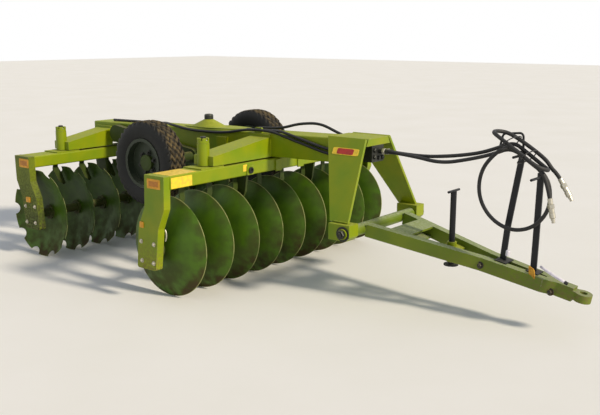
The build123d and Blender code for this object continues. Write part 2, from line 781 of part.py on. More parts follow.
# Wheels: name and side
for name, way in (("right", -1), ("left", 1)):
    centre = Plane(
        origin=(wheel_x + shift_x, way * wheel_y + shift_y, wheel_z), x_dir=(1, 0, 0), z_dir=(0, 0, 1)
    )
    with BuildPart() as tyre:
        with BuildSketch(centre):
            with BuildLine():
                Polyline(
                    (tyre_bead_radius, -tyre_bead_half),
                    (tyre_wall_radius, -tyre_half),
                    (tyre_shoulder_radius, -tyre_half),
                    (tyre_radius, -tyre_tread_half),
                    (tyre_radius, tyre_tread_half),
                    (tyre_shoulder_radius, tyre_half),
                    (tyre_wall_radius, tyre_half),
                    (tyre_bead_radius, tyre_bead_half),
                    close=True,
                )
            make_face()
        revolve(axis=Axis(centre.origin, (0, 1, 0)))
    tyre.part.label = name + "_tyre"
    export_step(tyre.part, "parts/" + name + "_tyre.step")

    shell_outer = tyre_bead_radius - rim_seat_gap
    with BuildPart() as rim:
        with BuildSketch(centre):
            with BuildLine():
                Polyline(
                    (shell_outer - rim_shell, -rim_flange_half),
                    (rim_flange_radius, -rim_flange_half),
                    (rim_flange_radius, -rim_flange_half + rim_shell),
                    (shell_outer, -rim_flange_half + rim_shell),
                    (shell_outer, rim_flange_half - rim_shell),
                    (rim_flange_radius, rim_flange_half - rim_shell),
                    (rim_flange_radius, rim_flange_half),
                    (shell_outer - rim_shell, rim_flange_half),
                    close=True,
                )
            make_face()
            place = way * wheel_disc_place
            with Locations((shell_outer / 2 + hub_radius / 4, place)):
                Rectangle(shell_outer - hub_radius / 2, wheel_disc)
        revolve(axis=Axis(centre.origin, (0, 1, 0)))
        with BuildSketch(Plane(origin=centre.origin, x_dir=(1, 0, 0), z_dir=(0, -1, 0))):
            Circle(hub_radius + rim_seat_gap)
        extrude(amount=tyre_half, both=True, mode=Mode.SUBTRACT)
    rim.part.label = name + "_rim"
    export_step(rim.part, "parts/" + name + "_rim.step")

    disc_face = wheel_disc_place - wheel_disc / 2
    with BuildPart() as hub:
        with BuildSketch(centre):
            with BuildLine():
                Polyline(
                    (stub_radius + stub_clearance, way * hub_inner),
                    (hub_radius - hub_inner_bevel_in, way * hub_inner),
                    (hub_radius, way * (hub_inner + hub_inner_bevel_along)),
                    (hub_radius, way * (disc_face - hub_flange)),
                    (hub_flange_radius, way * (disc_face - hub_flange)),
                    (hub_flange_radius, way * disc_face),
                    (hub_radius, way * disc_face),
                    (hub_radius, way * (hub_outer - hub_cap_bevel_along)),
                    (hub_radius - hub_cap_bevel_in, way * hub_outer),
                    (0, way * hub_outer),
                    (0, way * (stub_end - wheel_y + stub_end_gap)),
                    (stub_radius + stub_clearance, way * (stub_end - wheel_y + stub_end_gap)),
                    close=True,
                )
            make_face()
        revolve(axis=Axis(centre.origin, (0, 1, 0)))
    hub.part.label = name + "_hub"
    export_step(hub.part, "parts/" + name + "_hub.step")

# Lift cylinder, drawn along the line from its anchor pin to the lever pin
anchor_x = wheel_x - anchor_setback
anchor_z = main_top_at(anchor_x) - main_height - anchor_drop
cylinder_length = hypot(anchor_x - lever_pin_x, anchor_z - lever_pin_z)
cylinder_way = ((lever_pin_x - anchor_x) / cylinder_length, 0, (lever_pin_z - anchor_z) / cylinder_length)


def cylinder_section(distance):
    """A plane square to the lift cylinder, that far from its anchor pin."""
    origin = (anchor_x + shift_x + distance * cylinder_way[0], shift_y,
              anchor_z + distance * cylinder_way[2])
    return Plane(origin=origin, x_dir=(0, 1, 0), z_dir=cylinder_way)


barrel_end = cylinder_length - barrel_spare
ear_half = anchor_gap_half - anchor_side_gap
with BuildPart() as lift_barrel:
    add(ring(-ear_half, ear_half, anchor_radius, 0, anchor_x, anchor_z))
    with BuildSketch(cylinder_section(0)):
        Rectangle(2 * ear_half, 2 * (anchor_radius - anchor_neck))
    extrude(amount=barrel_start)
    with BuildSketch(cylinder_section(barrel_start)):
        Circle(barrel_radius)
    extrude(amount=barrel_end - barrel_start)
    with BuildSketch(cylinder_section(rod_start - 2 * rod_radius)):
        Circle(rod_radius + rod_clearance)
    extrude(amount=barrel_end, mode=Mode.SUBTRACT)
    with BuildSketch(side(anchor_gap_half)):
        with Locations((anchor_x, anchor_z)):
            Circle(anchor_pin_radius + pin_clearance)
    extrude(amount=2 * anchor_gap_half, mode=Mode.SUBTRACT)
lift_barrel.part.label = "lift_cylinder_barrel"
export_step(lift_barrel.part, "parts/lift_cylinder_barrel.step")

with BuildPart() as lift_rod:
    with BuildSketch(cylinder_section(rod_start)):
        Circle(rod_radius)
    extrude(amount=cylinder_length - rod_start - lever_pin_radius - eye_drift)
    add(ring(-eye_half, eye_half, eye_radius, 0, lever_pin_x, lever_pin_z))
    with BuildSketch(side(eye_half + rod_radius)):
        with Locations((lever_pin_x, lever_pin_z)):
            Circle(lever_pin_radius + eye_drift)
    extrude(amount=2 * (eye_half + rod_radius), mode=Mode.SUBTRACT)
lift_rod.part.label = "lift_cylinder_rod"
export_step(lift_rod.part, "parts/lift_cylinder_rod.step")

# Anchor under the main beam: two ears and their pin
with BuildPart() as lift_anchor:
    for low in (-anchor_gap_half - lever_plate, anchor_gap_half):
        with BuildSketch(side(low + lever_plate)):
            with Locations((anchor_x, anchor_z)):
                Circle(anchor_radius)
            with Locations((anchor_x, anchor_z + anchor_drop / 2 + lever_plate)):
                Rectangle(2 * anchor_radius, anchor_drop + 2 * lever_plate)
        extrude(amount=lever_plate)
    add(main_beam.part, mode=Mode.SUBTRACT)
    with BuildSketch(side(main_half)):
        Polygon(*main_side, align=None)
    extrude(amount=2 * main_half, mode=Mode.SUBTRACT)
    anchor_outer = anchor_gap_half + lever_plate
    add(ring(-anchor_outer, anchor_outer, anchor_pin_radius, 0, anchor_x, anchor_z))
lift_anchor.part.label = "lift_cylinder_anchor"
export_step(lift_anchor.part, "parts/lift_cylinder_anchor.step")

# Tower: two splayed tapered legs under a cross head, with a clevis bracket at each foot
leg_length = hypot(leg_top - leg_bottom, leg_bottom_y - leg_top_y)
leg_rise = (leg_top - leg_bottom) / leg_length
leg_spread = (leg_bottom_y - leg_top_y) / leg_length
for name, way in (("right", -1), ("left", 1)):
    outer = Plane(
        origin=(shift_x, way * leg_bottom_y + shift_y, leg_bottom),
        x_dir=(1, 0, 0),
        z_dir=(0, way * leg_rise, leg_spread),
    )
    up = -way
    with BuildPart() as leg:
        with BuildSketch(outer):
            Polygon(
                (leg_bottom_rear, -up * leg_plate),
                (leg_front, -up * leg_plate),
                (leg_front, up * (leg_length + leg_plate)),
                (leg_top_rear, up * (leg_length + leg_plate)),
                align=None,
            )
        extrude(amount=-leg_plate)
        split(bisect_by=level(leg_bottom), keep=Keep.TOP)
        split(bisect_by=level(leg_top), keep=Keep.BOTTOM)
    leg.part.label = name + "_tower_leg"
    export_step(leg.part, "parts/" + name + "_tower_leg.step")

    # Bracket with its boss and pin; the hinge tube of the drawbar turns on the pin
    inner_face = way * bracket_inner_y
    outer_face = way * bracket_outer_y
    boss_face = way * (bracket_outer_y + hinge_boss)
    with BuildPart() as bracket:
        with BuildSketch(side(max(inner_face, outer_face))):
            with Locations(((bracket_rear + bracket_front) / 2, (bracket_bottom + leg_bottom) / 2)):
                Rectangle(bracket_front - bracket_rear, leg_bottom - bracket_bottom)
        extrude(amount=bracket_outer_y - bracket_inner_y)
        chamfer(
            bracket.edges().filter_by(Axis.Y).group_by(Axis.Z)[0].sort_by(Axis.X)[-1], bracket_chamfer
        )
        add(ring(min(outer_face, boss_face), max(outer_face, boss_face), hinge_boss_radius, 0, hinge_x, hinge_z))
        pin_end = way * (bracket_inner_y - bracket_pin_depth)
        add(ring(min(outer_face, pin_end), max(outer_face, pin_end), hinge_pin_radius, 0, hinge_x, hinge_z))
    bracket.part.label = name + "_drawbar_bracket"
    export_step(bracket.part, "parts/" + name + "_drawbar_bracket.step")

# Head: a top plate that runs back over the main beam and a cross box ahead of it, between the legs
with BuildPart() as tower_head:
    with BuildSketch(side(leg_bottom_y)):
        Polygon(
            (leg_top_rear, main_top),
            (leg_top_rear, leg_top),
            (head_front, leg_top),
            (head_front, head_bottom),
            (main_front, head_bottom),
            (main_front, main_top),
            align=None,
        )
    extrude(amount=2 * leg_bottom_y)
    for way in (-1, 1):
        inner_leg_face = Plane(
            origin=(shift_x, way * (leg_bottom_y - leg_plate * leg_rise) + shift_y,
                    leg_bottom - leg_plate * leg_spread),
            x_dir=(1, 0, 0),
            z_dir=(0, way * leg_rise, leg_spread),
        )
        split(bisect_by=inner_leg_face, keep=Keep.BOTTOM)
tower_head.part.label = "tower_head"
export_step(tower_head.part, "parts/tower_head.step")

# Drawbar: hinge tube with its cross plate, two converging beams and the nose with the hitch ring
tube_half = bracket_inner_y - hinge_gap
with BuildPart() as hinge_tube:
    add(ring(-tube_half, tube_half, hinge_tube_radius, hinge_pin_radius + hinge_clearance, hinge_x, hinge_z))
hinge_tube.part.label = "drawbar_hinge_tube"
export_step(hinge_tube.part, "parts/drawbar_hinge_tube.step")


def beam_offset(along, out):
    """How far a drawbar beam's edge lies from the centreline: out is half its width, either way."""
    for first, second in zip(drawbar_line, drawbar_line[1:]):
        if along <= second[0]:
            share = (along - first[0]) / (second[0] - first[0])
            return first[1] + share * (second[1] - first[1]) + out
    return drawbar_line[-1][1] + out


for name, way in (("right", -1), ("left", 1)):
    outer_edge = [(along, way * beam_offset(along, drawbar_width / 2)) for along, _ in drawbar_line]
    inner_edge = [(along, way * beam_offset(along, -drawbar_width / 2)) for along, _ in drawbar_line]
    with BuildPart() as drawbar_beam:
        with BuildSketch(drawbar_level(0)):
            Polygon(*outer_edge, *reversed(inner_edge), align=None)
        extrude(amount=drawbar_height / 2, both=True)
    drawbar_beam.part.label = name + "_drawbar_beam"
    export_step(drawbar_beam.part, "parts/" + name + "_drawbar_beam.step")

# Cross plates of the drawbar, between the beams
bridge_start, bridge_end = drawbar_bridge
with BuildPart() as drawbar_bridge_plates:
    for height in (drawbar_height / 2 - drawbar_bridge_plate, -drawbar_height / 2):
        with BuildSketch(drawbar_level(height)):
            Polygon(
                (bridge_start, -beam_offset(bridge_start, -drawbar_width / 2)),
                (bridge_end, -beam_offset(bridge_end, -drawbar_width / 2)),
                (bridge_end, beam_offset(bridge_end, -drawbar_width / 2)),
                (bridge_start, beam_offset(bridge_start, -drawbar_width / 2)),
                align=None,
            )
        extrude(amount=drawbar_bridge_plate)
drawbar_bridge_plates.part.label = "drawbar_cross_plates"
export_step(drawbar_bridge_plates.part, "parts/drawbar_cross_plates.step")

nose_start = drawbar_line[-1][0]
nose_wide = beam_offset(nose_start, drawbar_width / 2)
with BuildPart() as nose:
    with BuildSketch(drawbar_level(-drawbar_height / 2)):
        Polygon(
            (nose_start, -nose_wide),
            (nose_start + nose_taper, -nose_half),
            (drawbar_length - hitch_ring_radius, -nose_half),
            (drawbar_length - hitch_ring_radius, nose_half),
            (nose_start + nose_taper, nose_half),
            (nose_start, nose_wide),
            align=None,
        )
    extrude(amount=drawbar_height)
    with BuildSketch(drawbar_level(-hitch_ring_height / 2)):
        with Locations((drawbar_length, 0)):
            Circle(hitch_ring_radius)
        with Locations((drawbar_length - hitch_ring_radius, 0)):
            Rectangle(2 * hitch_ring_radius, 2 * nose_half)
    extrude(amount=hitch_ring_height)
    with BuildSketch(drawbar_level(-drawbar_height)):
        with Locations((drawbar_length, 0)):
            Circle(hitch_hole_radius)
    extrude(amount=2 * drawbar_height, mode=Mode.SUBTRACT)
nose.part.label = "hitch_nose"
export_step(nose.part, "parts/hitch_nose.step")

# Parking jack: a plate and sleeve between the beams, and the leg with its foot and handle
jack_along = (jack_x - hinge_x) / cos(drawbar_slope)
jack_level = hinge_z - (jack_x - hinge_x) * sin(drawbar_slope) / cos(drawbar_slope)
jack_sleeve_top = jack_level + drawbar_height / 2
with BuildPart() as jack_sleeve:
    with BuildSketch(drawbar_level(-jack_plate / 2)):
        Polygon(
            (jack_along - jack_plate_half, -beam_offset(jack_along - jack_plate_half, -drawbar_width / 2)),
            (jack_along + jack_plate_half, -beam_offset(jack_along + jack_plate_half, -drawbar_width / 2)),
            (jack_along + jack_plate_half, beam_offset(jack_along + jack_plate_half, -drawbar_width / 2)),
            (jack_along - jack_plate_half, beam_offset(jack_along - jack_plate_half, -drawbar_width / 2)),
            align=None,
        )
    extrude(amount=jack_plate)
    with BuildSketch(level(jack_sleeve_bottom)):
        with Locations((jack_x, 0)):
            Circle(jack_sleeve_radius)
    extrude(amount=jack_sleeve_top - jack_sleeve_bottom)
    with BuildSketch(level(jack_sleeve_bottom)):
        with Locations((jack_x, 0)):
            Circle(jack_leg_radius + jack_clearance)
    extrude(amount=jack_sleeve_top - jack_sleeve_bottom, mode=Mode.SUBTRACT)
jack_sleeve.part.label = "jack_sleeve"
export_step(jack_sleeve.part, "parts/jack_sleeve.step")

handle_z = jack_top - jack_handle_radius
with BuildPart() as jack_leg:
    with BuildSketch(level(jack_foot_top)):
        with Locations((jack_x, 0)):
            Circle(jack_leg_radius)
    extrude(amount=handle_z - jack_foot_top)
    with BuildSketch(level(jack_foot_top)):
        with Locations((jack_x, 0)):
            Circle(jack_foot_radius)
    extrude(amount=-jack_foot)
    add(ring(-jack_handle_half, jack_handle_half, jack_handle_radius, 0, jack_x, handle_z))
jack_leg.part.label = "jack_leg"
export_step(jack_leg.part, "parts/jack_leg.step")

# Hose stands: flat bars that lean forwards, each on a foot across the beams, with a peg near the top;
# the rear one ends in a hook that the hoses pass under
for name, foot_x, bend_x, top_x, bend_z, top_z in stand_lines:
    foot_along = (foot_x - hinge_x) / cos(drawbar_slope)
    foot_z = hinge_z - (foot_x - hinge_x) * sin(drawbar_slope) / cos(drawbar_slope)
    foot_top = foot_z + drawbar_height / 2
    with BuildPart() as stand:
        with BuildSketch(side(stand_plate / 2)):
            Polygon(
                (foot_x - stand_width / 2, foot_top),
                (foot_x + stand_width / 2, foot_top),
                (bend_x + stand_width / 2, bend_z),
                (top_x + stand_width / 2, top_z),
                (top_x - stand_width / 2, top_z),
                (bend_x - stand_width / 2, bend_z),
                align=None,
            )
        extrude(amount=stand_plate)
        with BuildSketch(drawbar_level(drawbar_height / 2)):
            with Locations((foot_along, 0)):
                Rectangle(2 * stand_foot_half, 2 * beam_offset(foot_along, 0))
        extrude(amount=stand_foot)
        add(ring(-stand_peg, stand_plate / 2, stand_peg_radius, 0, top_x, top_z - stand_peg_drop))
        if name == "rear_hose_stand":
            with BuildLine(side(0)) as hook:
                FilletPolyline(*hook_line, radius=hook_bend)
            hook_path = hook.wire()
            with BuildSketch(Plane(origin=hook_path @ 0, z_dir=hook_path % 0)):
                Circle(hook_radius)
            sweep(path=hook_path)
    stand.part.label = name
    export_step(stand.part, "parts/" + name + ".step")

# Hydraulic block under the head, with the two ports that the hoses leave from
with BuildPart() as coupling_block:
    with BuildSketch(side(coupling_block_half)):
        with Locations(((coupling_block_rear + leg_front) / 2, (coupling_block_bottom + head_bottom) / 2)):
            Rectangle(leg_front - coupling_block_rear, head_bottom - coupling_block_bottom)
    extrude(amount=2 * coupling_block_half)
    with BuildSketch(across(leg_front)):
        for line in (upper_hose_line, lower_hose_line):
            with Locations((line[0][1], line[0][2])):
                Circle(port_radius)
    extrude(amount=upper_hose_line[0][0] - port_gap - leg_front)
coupling_block.part.label = "hydraulic_block"
export_step(coupling_block.part, "parts/hydraulic_block.step")

# Hank: the folded spare length of the hoses, tied over the rear stand's peg
with BuildPart() as hank:
    with BuildSketch(side(hank_left)):
        for x, z, radius in hank_ends:
            with Locations((x, z)):
                Circle(radius)
        make_hull()
    extrude(amount=hank_left - hank_right)
    fillet(hank.faces().filter_by(Axis.Y).edges(), hank_round)
hank.part.label = "hose_hank"
export_step(hank.part, "parts/hose_hank.step")

# Tubes: name and line; the ends that reach the hank stop at its surface
for name, line in (
    ("upper_hose", upper_hose_line),
    ("lower_hose", lower_hose_line),
    ("hose_loop", hose_loop_line),
    ("upper_hose_end", upper_end_line),
    ("lower_hose_end", lower_end_line),
):
    with BuildPart() as hose:
        add(tube(line, hose_radius, name))
        add(hank.part, mode=Mode.SUBTRACT)
    print(name, "volume", round(hose.part.volume), "as a length", round(hose.part.volume / hose_section))
    hose.part.label = name
    export_step(hose.part, "parts/" + name + ".step")

# Couplers, in line with the last run of each hose end
with BuildPart() as couplers:
    for line in (upper_end_line, lower_end_line):
        reach = dist(line[-2], line[-1])
        way = [(last - before) / reach for before, last in zip(line[-2], line[-1])]
        start = 0
        for radius, end in coupler_steps:
            place = [last + start * step for last, step in zip(line[-1], way)]
            with BuildSketch(Plane(origin=(place[0] + shift_x, place[1] + shift_y, place[2]), z_dir=way)):
                Circle(radius)
            extrude(amount=end - start)
            start = end
couplers.part.label = "hose_couplers"
export_step(couplers.part, "parts/hose_couplers.step")
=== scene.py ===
import math

import bpy
import numpy as np
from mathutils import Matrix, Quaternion, Vector


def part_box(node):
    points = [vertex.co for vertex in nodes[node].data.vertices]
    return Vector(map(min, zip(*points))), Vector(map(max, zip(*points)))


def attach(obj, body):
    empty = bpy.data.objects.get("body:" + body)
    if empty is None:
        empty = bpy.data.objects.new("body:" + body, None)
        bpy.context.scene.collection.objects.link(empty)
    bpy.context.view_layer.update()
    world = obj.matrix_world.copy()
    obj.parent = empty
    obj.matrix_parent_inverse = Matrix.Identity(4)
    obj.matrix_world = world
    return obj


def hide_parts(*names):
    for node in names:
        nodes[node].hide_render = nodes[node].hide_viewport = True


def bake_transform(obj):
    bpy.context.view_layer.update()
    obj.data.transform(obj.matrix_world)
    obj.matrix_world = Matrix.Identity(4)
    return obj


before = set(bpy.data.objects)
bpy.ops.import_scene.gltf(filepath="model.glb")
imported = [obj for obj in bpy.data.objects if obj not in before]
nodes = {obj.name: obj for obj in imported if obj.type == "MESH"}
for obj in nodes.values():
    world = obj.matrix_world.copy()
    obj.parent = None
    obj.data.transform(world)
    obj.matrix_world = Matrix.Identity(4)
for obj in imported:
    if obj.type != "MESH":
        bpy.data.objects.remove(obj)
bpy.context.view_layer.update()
print("frame loaded")

# Camera, where the photograph was taken from: low, ahead of the machine and to its right
camera = {
    "place": (3.38311, -4.2505, 1.536),
    "ahead": (-0.60577, 0.76929, -0.20307),
    "roll": 0.14,
    "lens": 50.03,
    "sensor": 36.0,
}


def addCamera():
    data = bpy.data.cameras.new("camera")
    data.lens = camera["lens"]
    data.sensor_width = camera["sensor"]
    obj = bpy.data.objects.new("camera", data)
    bpy.context.scene.collection.objects.link(obj)
    obj.location = camera["place"]
    turn = Vector(camera["ahead"]).to_track_quat("-Z", "Y")
    obj.rotation_mode = "QUATERNION"
    obj.rotation_quaternion = turn @ Quaternion((0, 0, 1), math.radians(camera["roll"]))
    bpy.context.scene.camera = obj


addCamera()
print("camera placed")

# Drawing sizes are in millimetres from the ground midway between the gang axles, as in the part's source
machineShift = np.array([-886.511, -117.5, 0.0])


def at(points):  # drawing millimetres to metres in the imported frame
    return (np.asarray(points, float) + machineShift) / 1000


# Colours and nodes
def colour(text):  # an sRGB hex colour as linear values, opaque
    parts = np.array([int(text[i:i + 2], 16) for i in (1, 3, 5)]) / 255
    linear = np.where(parts <= 0.04045, parts / 12.92, ((parts + 0.055) / 1.055) ** 2.4)
    return (*linear.tolist(), 1.0)


colourMix = {"output": "Result", "data_type": "RGBA"}


def addNode(tree, kind, inputs=None, output=0, **settings):
    # one node with its settings: a socket given for an input is linked and a value set, one output comes back
    node = tree.nodes.new("ShaderNode" + kind)
    for name, value in settings.items():
        setattr(node, name, value)
    for name, value in (inputs or {}).items():
        if isinstance(value, bpy.types.NodeSocket):
            tree.links.new(value, node.inputs[name])
        else:
            node.inputs[name].default_value = value
    return node.outputs[output] if node.outputs else node


def newMaterial(name):  # an empty material, its node tree and the object coordinates in it
    material = bpy.data.materials.new(name)
    material.use_nodes = True
    tree = material.node_tree
    tree.nodes.clear()
    return material, tree, addNode(tree, "TexCoord", output="Object")


def finishMaterial(material, shader):
    addNode(material.node_tree, "OutputMaterial", {"Surface": shader})
    return material


# Meshes
def meshPiece(name, points, faces, material, body, smooth=True):
    mesh = bpy.data.meshes.new(name)
    mesh.from_pydata(np.asarray(points).reshape(-1, 3).tolist(), [], faces)
    mesh.polygons.foreach_set("use_smooth", np.full(len(mesh.polygons), smooth))
    mesh.materials.append(material)
    mesh.update()
    obj = bpy.data.objects.new(name, mesh)
    bpy.context.scene.collection.objects.link(obj)
    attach(obj, body)
    return obj


def gridFaces(rings, sides, closed=False, offset=0):
    # a quad between neighbouring points of neighbouring rings; closed also joins the last ring to the first
    i = np.arange(rings if closed else rings - 1)[:, None]
    j = np.arange(sides)[None, :]
    nextRing = (i + 1) % rings
    nextSide = (j + 1) % sides
    quads = np.stack([i * sides + j, i * sides + nextSide, nextRing * sides + nextSide,
                      nextRing * sides + j], -1)
    return (quads.reshape(-1, 4) + offset).tolist()


def basis(normals):
    # two directions square to each normal and to each other
    n = np.asarray(normals, float).reshape(-1, 3)
    n = n / np.linalg.norm(n, axis=1, keepdims=True)
    helper = np.where(np.abs(n[:, 2:3]) < 0.9, [[0.0, 0.0, 1.0]], [[1.0, 0.0, 0.0]])
    first = np.cross(helper, n)
    first /= np.linalg.norm(first, axis=1, keepdims=True)
    return first, np.cross(n, first), n


def turnedPieces(name, rings, spots, sides, material, body):
    # each spot (centre in drawing mm, outward direction) gets the same stack of rings (radius, height), with
    # a point at radius * (cos, sin) of the angle in the two directions across, and the height along
    centres = at([centre for centre, _ in spots])[:, None, None]
    across, up, out = (row[:, None, None] for row in basis([direction for _, direction in spots]))
    angle = np.arange(sides) * 2 * np.pi / sides
    radius, height = (np.array(rings, float) / 1000).T[:, None, :, None, None]
    points = (centres + radius * np.cos(angle)[:, None] * across + radius * np.sin(angle)[:, None] * up
              + height * out)
    faces = []
    size = len(rings) * sides
    for offset in range(0, len(spots) * size, size):
        faces += gridFaces(len(rings), sides, offset=offset)
        faces.append(list(range(offset + size - sides, offset + size)))
        faces.append(list(range(offset + sides - 1, offset - 1, -1)))
    return meshPiece(name, points, faces, material, body, smooth=False)


# Bolt heads: the washer's thickness in mm, and the rest as shares of the width across the flats, the head's
# rings with their radius as a share of the corner's. Heads wider than threadFrom show the end of the thread
hexHead = {
    "washerThick": 2.4,
    "washer": 0.95,
    "head": [(1, 0), (1, 0.5), (0.86, 0.62)],
    "thread": [(0.27, 0.6), (0.27, 0.8), (0.2, 0.86)],
    "threadFrom": 15,
}


def hexHeads(name, spots, across, material, body):
    # a round washer, the six flats of the head and its chamfered crown, then the end of the thread
    thick = hexHead["washerThick"]
    corner = across / math.sqrt(3)
    washer = [(across * hexHead["washer"], 0), (across * hexHead["washer"], thick)]
    head = [(corner * share, thick + across * rise) for share, rise in hexHead["head"]]
    thread = [(across * share, thick + across * rise) for share, rise in hexHead["thread"]]
    parts = [("Washers", washer, 20), ("Heads", head, 6)]
    if across > hexHead["threadFrom"]:
        parts.append(("Threads", thread, 14))
    for part, rings, sides in parts:
        turnedPieces(name + part, rings, spots, sides, material, body)


def squaredCircle(count, square):
    # points of a circle drawn out towards a square, sign(c) * |c| ** square of its cosine and its sine
    angle = np.linspace(0, 2 * np.pi, count, endpoint=False)
    circle = np.stack([np.cos(angle), np.sin(angle)], 1)
    return angle, np.sign(circle) * np.abs(circle) ** square


# Rings of a rounded plate, from the middle of its front to the middle of its back: the size of each as a
# share of the outline, its height as a share of the thickness, and how far it rises with a dome
plateRings = {
    "points": 64,
    "sizes": [0.02, 0.4, 0.8, 1, 1, 1, 0.5, 0.02],
    "heights": [1, 1, 1, 1, 0.7, 0, 0, 0],
    "dome": [1, 0.8, 0.35, 0, 0, 0, 0, 0],
    "chamferRing": 3,
    "chamfer": 0.04,
}


def roundedPlate(name, centre, along, up, thickness, material, body, square=0.16, dome=0.0):
    # rings of a rounded rectangle about the centre, its outline times a size, first growing over the front
    # face, then turning over the edge and closing at the back
    count = plateRings["points"]
    _, outline = squaredCircle(count, square)
    sizes = np.array(plateRings["sizes"], float)
    longest = max(np.linalg.norm(along), np.linalg.norm(up))
    sizes[plateRings["chamferRing"]] -= min(plateRings["chamfer"], thickness / longest)
    heights = np.multiply(plateRings["heights"], thickness) + np.multiply(plateRings["dome"], dome)
    out = np.cross(along, up)
    out = out / np.linalg.norm(out)
    points = centre + sizes[:, None, None] * (outline @ [along, up]) + heights[:, None, None] * out
    faces = gridFaces(len(sizes), count)
    faces.append(list(range(count - 1, -1, -1)))
    faces.append(list(range((len(sizes) - 1) * count, len(sizes) * count)))
    flipped = [face[::-1] for face in faces]
    return meshPiece(name, at(points), flipped, material, body, smooth=False)


def tubeAlong(name, path, radius, sides, material, body, reference, closed=False):
    # a ring round each point of the path: radius * (cos, sin) in the two directions across the path, the
    # first of them square to the reference direction
    path = np.asarray(path, float)
    way = np.roll(path, -1, 0) - np.roll(path, 1, 0)
    if not closed:
        way[0] = path[1] - path[0]
        way[-1] = path[-1] - path[-2]
    way /= np.linalg.norm(way, axis=1, keepdims=True)
    first = np.cross(way, reference)
    first /= np.linalg.norm(first, axis=1, keepdims=True)
    second = np.cross(way, first)
    angle = np.arange(sides) * 2 * np.pi / sides
    width = np.broadcast_to(np.asarray(radius, float), len(path))[:, None, None]
    points = path[:, None] + width * (np.cos(angle)[:, None] * first[:, None]
                                      + np.sin(angle)[:, None] * second[:, None])
    faces = gridFaces(len(path), sides, closed)
    if not closed:
        faces.append(list(range(sides - 1, -1, -1)))
        faces.append(list(range((len(path) - 1) * sides, len(path) * sides)))
    return meshPiece(name, at(points), [face[::-1] for face in faces], material, body)


# Wrapped rubber hose: extruded nitrile under a cloth-marked cover, matt black with pale dust in its weave
hoseRubber = {"base": "#0d0e10", "worn": "#2e2d2b", "weaveMm": 2.4, "dustMm": 60}


def makeHoseRubber():
    material, tree, place = newMaterial("clothWrappedRubberHose")
    dust = addNode(tree, "TexNoise", {"Vector": place, "Scale": 1000 / hoseRubber["dustMm"], "Detail": 4.0})
    share = addNode(tree, "MapRange", {"Value": dust, "From Min": 0.45, "From Max": 0.75, "To Max": 0.55})
    cover = {"Factor": share, "A": colour(hoseRubber["base"]), "B": colour(hoseRubber["worn"])}
    surface = addNode(tree, "Mix", cover, **colourMix)
    weave = addNode(tree, "TexNoise", {"Vector": place, "Scale": 1000 / hoseRubber["weaveMm"], "Detail": 1.0})
    bump = addNode(tree, "Bump", {"Height": weave, "Strength": 0.35, "Distance": 0.0006})
    shader = addNode(tree, "BsdfPrincipled", {"Base Color": surface, "Normal": bump, "Roughness": 0.62})
    return finishMaterial(material, shader)


# Zinc-plated steel: electroplated and yellowed a little, with a broken satin gloss
zincSteel = {"base": "#c9c8c0", "aged": "#a79f88", "spotMm": 8}


def makeZincSteel():
    material, tree, place = newMaterial("zincPlatedSteel")
    spots = addNode(tree, "TexNoise", {"Vector": place, "Scale": 1000 / zincSteel["spotMm"], "Detail": 5.0})
    plating = {"Factor": spots, "A": colour(zincSteel["base"]), "B": colour(zincSteel["aged"])}
    surface = addNode(tree, "Mix", plating, **colourMix)
    rough = addNode(tree, "MapRange", {"Value": spots, "To Min": 0.28, "To Max": 0.5})
    bump = addNode(tree, "Bump", {"Height": spots, "Strength": 0.15, "Distance": 0.0003})
    shader = addNode(tree, "BsdfPrincipled",
                     {"Base Color": surface, "Metallic": 0.85, "Roughness": rough, "Normal": bump})
    return finishMaterial(material, shader)


hoseCover = makeHoseRubber()
zincPlate = makeZincSteel()

# Hoses: the routes of the part's source, and between them the spare length folded in the hank, given along
# the hank, to the left and across it
hoses = {
    "radius": 10.5,
    "sectionSteps": 5,
    "curveOrder": 3,
    "curveSteps": 10,
    "hankStart": (2430, 1033),
    "hankWay": (0.8204, -0.5722),
    "upperRoute": [(1664, 54, 857), (1850, 36, 849), (2060, 12, 871), (2250, -7, 906), (2358, -16, 944),
                   (2458, -25, 986)],
    "upperFolds": [(120, -27, -16), (256, -27, -14), (298, -68, 2), (298, -128, 14), (256, -169, 10),
                   (130, -169, 6), (0, -170, 0), (-42, -128, -14), (-42, -68, -14), (0, -26, 2),
                   (110, -26, 16), (240, -22, 20)],
    "upperEnd": [(2672, -24, 868), (2693, -24, 851), (2717, -24, 824), (2735, -24, 796)],
    "lowerRoute": [(1664, 14, 862), (1840, 2, 855), (2030, -14, 832), (2210, -29, 873), (2350, -39, 914),
                   (2458, -45, 962)],
    "lowerPass": [(190, -60, -34)],
    "loop": [(2650, -68, 848), (2690, -68, 775), (2690, -68, 655), (2610, -68, 553), (2485, -68, 520),
             (2362, -68, 575), (2290, -68, 690), (2300, -68, 830), (2385, -68, 935), (2464, -69, 976)],
    "secondPass": [(180, -97, -22)],
    "lowerEnd": [(2636, -99, 874), (2683, -100, 810), (2708, -100, 699)],
    "bendFrom": (1720, 0, 860),
    "bendTo": (2300, 0, 860),
}


def alongHank(rows):  # places along, left of and across the hank's line, as drawing places
    s, y, t = np.array(rows, float).T
    (startX, startZ), (wayX, wayZ) = hoses["hankStart"], hoses["hankWay"]
    return np.stack([startX + s * wayX - t * wayZ, y, startZ + s * wayZ + t * wayX], 1)


def splineObject(name, places):
    curve = bpy.data.curves.new(name, "CURVE")
    curve.dimensions = "3D"
    spline = curve.splines.new("NURBS")
    spline.points.add(len(places) - 1)
    spline.points.foreach_set("co", np.column_stack([at(places), np.ones(len(places))]).ravel())
    spline.order_u = hoses["curveOrder"]
    spline.use_endpoint_u = True
    spline.resolution_u = hoses["curveSteps"]
    obj = bpy.data.objects.new(name + "Line", curve)
    bpy.context.scene.collection.objects.link(obj)
    return obj


